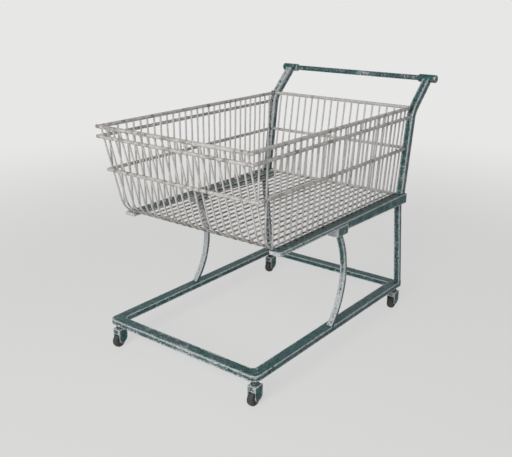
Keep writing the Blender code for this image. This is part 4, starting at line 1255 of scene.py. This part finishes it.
def fork_lower_edge(y, y_front):
    """Lower edge of a fork's cheek: two quarter ellipses, z = shoulder - depth * sqrt(1 - t^2),
    where t runs from 0 at its lowest point to 1 at the front and back edges.
    """
    tip_y = y_front + FORK_TIP_BEHIND_FRONT
    reach = np.where(y < tip_y, FORK_TIP_BEHIND_FRONT, FORK_LENGTH - FORK_TIP_BEHIND_FRONT)
    share = np.clip((y - tip_y) / reach, -1.0, 1.0)
    return FORK_SHOULDER_Z - (FORK_SHOULDER_Z - FORK_LOW.z) * np.sqrt(1 - share ** 2)


def fork_wall(surface, x, y):
    """Pressed fork: a plate that runs along one cheek, round the front and back along the other.
    point = outline + inward * w + up * h, where w and h go round the plate's rounded section and
    its height follows the cheek's lower edge.
    """
    half = FORK_HALF_WIDTH
    y_front = y - FORK_LENGTH / 2
    wave = np.cos(np.linspace(0.0, math.pi, 52))
    reach = np.where(wave < 0, FORK_TIP_BEHIND_FRONT - FORK_CORNER, FORK_LENGTH - FORK_TIP_BEHIND_FRONT)
    cheek_y = y_front + FORK_TIP_BEHIND_FRONT + reach * wave
    cheek = np.column_stack([np.full(len(cheek_y), -half), cheek_y])
    angle = np.linspace(math.pi, 1.5 * math.pi, 7)[1:]
    corner = FORK_CORNER * np.column_stack([np.cos(angle), np.sin(angle)])
    left = np.concatenate([cheek, corner + (FORK_CORNER - half, y_front + FORK_CORNER)])
    web = np.column_stack([np.linspace(-1, 1, 11)[1:-1] * (half - FORK_CORNER), np.full(9, y_front)])
    outline = np.concatenate([left, web, left[::-1] * (-1, 1)])
    along = unit(np.gradient(outline, axis=0))
    inward = np.column_stack([-along[:, 1], along[:, 0]])
    in_web = np.abs(outline[:, 0]) < half - 0.001
    low = np.where(in_web, FORK_TOP_Z - FORK_WEB_HEIGHT, fork_lower_edge(outline[:, 1], y_front))
    section, edge = box_outline(np.full(len(outline), FORK_PLATE), FORK_TOP_Z - low, PLATE_ROUNDING)
    flat = outline[:, None] + inward[:, None] * (section[..., :1] + FORK_PLATE / 2)
    height = (FORK_TOP_Z + low)[:, None] / 2 + section[..., 1]
    grid = np.concatenate([flat + (x, 0.0), height[..., None]], axis=-1)
    from_back = y + FORK_LENGTH / 2 - grid[..., 1]
    from_corner = np.hypot(np.abs(outline[:, 0]) - half, outline[:, 1] - y_front)[:, None] * 0.7
    edge = np.minimum(np.minimum(edge, from_back), from_corner)
    surface.add(grid, edge, rub=FORK_WEB_RUB * in_web[:, None])


class CART_OT_casters(Operator):
    """Make the four casters: swivel, pressed fork, axle, wheel core and rubber tyre"""
    bl_idname = "cart.casters"
    bl_label = "Casters"

    def execute(self, context):
        for row in ROWS:
            for name, side in SIDES.items():
                place = (side * CASTER_X, CASTER_Y[row])
                self.caster(context.scene.cart_casters, "caster_" + row + "_" + name, *place)
        return {'FINISHED'}

    def part(self, name, ending, surface, maker, body, slot, node, sharp=0.9):
        """Piece of one caster, on one of that caster's bodies."""
        piece(name + ending, surface, once(maker), name + body, (name + node,), sharp)

    def caster(self, settings, name, x, y):
        """One caster about its upright swivel line at x, y."""
        axle = (x, y - CASTER_TRAIL, settings.wheel_radius)
        self.swivel(name, (x, y, 0.0))
        surface = Surface()
        fork_wall(surface, x, y)
        line = [(x, y, z) for z in (FORK_TOP_Z - FORK_PLATE, FORK_TOP_Z - 0.0002)]
        tube(surface, line, X_AXIS, 2 * FORK_HALF_WIDTH - 0.0024, FORK_LENGTH - 0.0024, 0.003, tip=0.0008,
             step=0.001, rub=FORK_TOP_RUB)
        self.part(name, "_worn_fork", surface, fork_teal, "_swivel", "caster_paint", "_fork")
        self.axle(name, axle)
        self.wheel(settings, name, axle)

    def swivel(self, name, centre):
        """Kingpin with the two dished rings of its ball race."""
        top = CHASSIS_LOW.z
        low = FORK_TOP_Z + 0.0004
        above = [(0.0070, 0.0), (0.0138, 0.0004), (0.0142, 0.0016), (0.0142, 0.0042), (0.0131, 0.0066),
                 (0.0112, 0.0080), (0.0104, 0.0100)]
        below = [(0.0104, 0.0090), (0.0112, 0.0072), (0.0131, 0.0058), (0.0140, 0.0036), (0.0140, 0.0010),
                 (0.0134, 0.0), (0.0060, 0.0), (0.0060, -0.0030), (0.0100, -0.0040), (0.0100, -0.0058),
                 (0.0086, -0.0068), (0.0020, -0.0070)]
        profile = [(radius, top - drop) for radius, drop in above]
        profile += [(radius, low + rise) for radius, rise in below]
        surface = Surface(turned(profile, centre, Z_AXIS, 36))
        piece(name + "_race", surface, once(pin_steel_and_shade), "cart", (name + "_kingpin",))

    def axle(self, name, axle):
        """Axle with a domed rivet head outside each cheek."""
        half = FORK_HALF_WIDTH
        dome = [(0.0056, 0.0001), (0.0056, 0.0005), (0.0052, 0.0010), (0.0042, 0.0015), (0.0028, 0.0018),
                (0.0008, 0.0019)]
        head = [(radius, half + along) for radius, along in dome]
        pin = [(0.0039, -half), (0.0039, half)]
        profile = [(radius, -along) for radius, along in head[::-1]] + pin + head
        surface = Surface(turned(profile, axle, X_AXIS, 32))
        self.part(name, "_rivet", surface, pin_steel_and_shade, "_swivel", "caster_steel", "_axle")

    def wheel(self, settings, name, axle):
        """Core with a raised hub and a dished web, and a tyre round it. The tyre's section is
        along = h * |cos a|^(2/n), radius = core + t * |sin a|^(2/n), which is square for a high n.
        """
        half = (CORE_HIGH.x - CORE_LOW.x) / 2
        core = (CORE_HIGH.z - CORE_LOW.z) / 2
        side = [(0.0045, 0.0009), (0.0070, 0.0009), (0.0077, 0.0003), (0.0083, -0.0026), (0.0102, -0.0034),
                (core - 0.0040, -0.0034), (core - 0.0024, -0.0026), (core - 0.0018, -0.0006),
                (core - 0.0010, -0.0001), (core - 0.0002, -0.0001)]
        profile = [(radius, -half - out) for radius, out in side]
        profile += [(radius, half + out) for radius, out in side[::-1]]
        surface = Surface(turned(profile, axle, X_AXIS, 48), looped=True)
        self.part(name, "_core", surface, core_plastic, "_roller", "wheel_core", "_wheel")

        power = 2.0 / settings.tread_squareness
        angle = np.linspace(0.0, math.pi, 25)
        along = -half * np.sign(np.cos(angle)) * np.abs(np.cos(angle)) ** power
        radius = core + (settings.wheel_radius - core) * np.abs(np.sin(angle)) ** power
        inner = [(core - 0.0008, half * 0.98), (core - 0.0008, -half * 0.98)]
        profile = np.concatenate([np.column_stack([radius, along]), inner])
        surface = Surface(turned(profile, axle, X_AXIS, 64), looped=True)
        self.part(name, "_rubber", surface, tyre_rubber, "_roller", "wheel_rubber", "_tyre", 0.7)


# Stage

def linked(name, data):
    """Object of some data, put in the scene."""
    made = bpy.data.objects.new(name, data)
    bpy.context.scene.collection.objects.link(made)
    return made


def aimed(thing, place, aim):
    """Put a lamp or the camera at a place, looking at another."""
    thing.location = place
    thing.rotation_euler = (Vector(aim) - thing.location).to_track_quat('-Z', 'Y').to_euler()


class CART_OT_stage(Operator):
    """Set the camera, the soft lamps, the even sky and the plain floor"""
    bl_idname = "cart.stage"
    bl_label = "Stage"

    def execute(self, context):
        settings = context.scene.cart_stage
        context.scene.view_settings.view_transform = 'Standard'
        self.camera(context.scene, settings.lens)
        self.lamp("Key", settings.key_power, *KEY_LAMP)
        self.lamp("Fill", settings.fill_power, *FILL_LAMP)
        self.sky(context.scene, settings)
        self.floor()
        return {'FINISHED'}

    def camera(self, scene, lens):
        """Camera at the photograph's angle."""
        data = bpy.data.cameras.new("Camera")
        data.lens = lens
        data.sensor_width = 36.0
        data.sensor_fit = 'HORIZONTAL'
        scene.camera = linked("Camera", data)
        aimed(scene.camera, CAMERA_PLACE, CAMERA_AIM)

    def lamp(self, name, power, place, size, colour):
        """Square soft lamp aimed at the basket."""
        data = bpy.data.lights.new(name, 'AREA')
        data.size = size
        data.energy = power
        data.color = colour
        aimed(linked(name, data), place, LAMP_AIM)

    def sky(self, scene, settings):
        """Even light from all round, which the camera and gloss see as the floor's colour."""
        world = bpy.data.worlds.new("Sky")
        world.use_nodes = True
        nodes = Nodes(world.node_tree)
        light = world.node_tree.nodes["Background"]
        light.inputs["Color"].default_value = (1.0, 1.0, 1.0, 1.0)
        light.inputs["Strength"].default_value = settings.sky_strength
        backdrop = nodes.node("Background", {"Color": settings.floor_colour, "Strength": 1.0})
        nodes.show("World Output", nodes.seen(), light, backdrop)
        scene.world = world

    def floor(self):
        """Round floor, a disc of rings by spokes: point = radius * (cos a, sin a)."""
        spokes = FLOOR_SPOKES
        flat = np.array(FLOOR_RINGS)[:, None, None] * round_outline(spokes)
        points = np.concatenate([flat, np.zeros(flat.shape[:2] + (1,))], axis=-1).reshape(-1, 3)
        row, spoke = np.meshgrid(np.arange(len(FLOOR_RINGS) - 1), np.arange(spokes), indexing="ij")
        row = row * spokes
        after = (spoke + 1) % spokes
        quads = np.stack([row + spoke, row + spokes + spoke, row + spokes + after, row + after], axis=-1)
        mesh = bpy.data.meshes.new("floor")
        mesh.from_pydata(points, [], quads.reshape(-1, 4).tolist() + [list(range(spokes))])
        mesh.materials.append(once(floor_finish))
        linked("floor", mesh)


# Panel

PIECE_OPERATORS = (
    CART_OT_stage, CART_OT_chassis, CART_OT_rails, CART_OT_struts, CART_OT_handle, CART_OT_frame_welds,
    CART_OT_side_walls, CART_OT_front_and_floor, CART_OT_rear_wall, CART_OT_ring_rods, CART_OT_wire_welds,
    CART_OT_casters,
)
SETTINGS = {
    "cart_frame": CartFrameSettings,
    "cart_basket": CartBasketSettings,
    "cart_casters": CartCasterSettings,
    "cart_stage": CartStageSettings,
}


class CART_PT_panel(Panel):
    """Lists the cart's settings and the pieces that can be made"""
    bl_idname = "CART_PT_panel"
    bl_label = "Worn shopping cart"
    bl_space_type = 'VIEW_3D'
    bl_region_type = 'UI'
    bl_category = "Cart"

    def draw(self, context):
        for attribute, group in SETTINGS.items():
            box = self.layout.box()
            for name in group.__annotations__:
                box.prop(getattr(context.scene, attribute), name)
        for operator in PIECE_OPERATORS:
            self.layout.operator(operator.bl_idname)


CLASSES = (*SETTINGS.values(), *PIECE_OPERATORS, CART_PT_panel)


def register():
    """Register the classes and put the settings on the scene."""
    for item in CLASSES:
        bpy.utils.register_class(item)
    for attribute, group in SETTINGS.items():
        setattr(bpy.types.Scene, attribute, PointerProperty(type=group))


def unregister():
    """Take the settings and the classes away again."""
    for attribute in SETTINGS:
        delattr(bpy.types.Scene, attribute)
    for item in reversed(CLASSES):
        bpy.utils.unregister_class(item)


def main():
    """Make the stage and every piece."""
    register()
    bpy.ops.cart.stage()
    bpy.ops.cart.chassis()
    bpy.ops.cart.rails()
    bpy.ops.cart.struts()
    bpy.ops.cart.handle()
    bpy.ops.cart.frame_welds()
    bpy.ops.cart.side_walls()
    bpy.ops.cart.front_and_floor()
    bpy.ops.cart.rear_wall()
    bpy.ops.cart.ring_rods()
    bpy.ops.cart.wire_welds()
    bpy.ops.cart.casters()


if __name__ == "__main__":
    main()
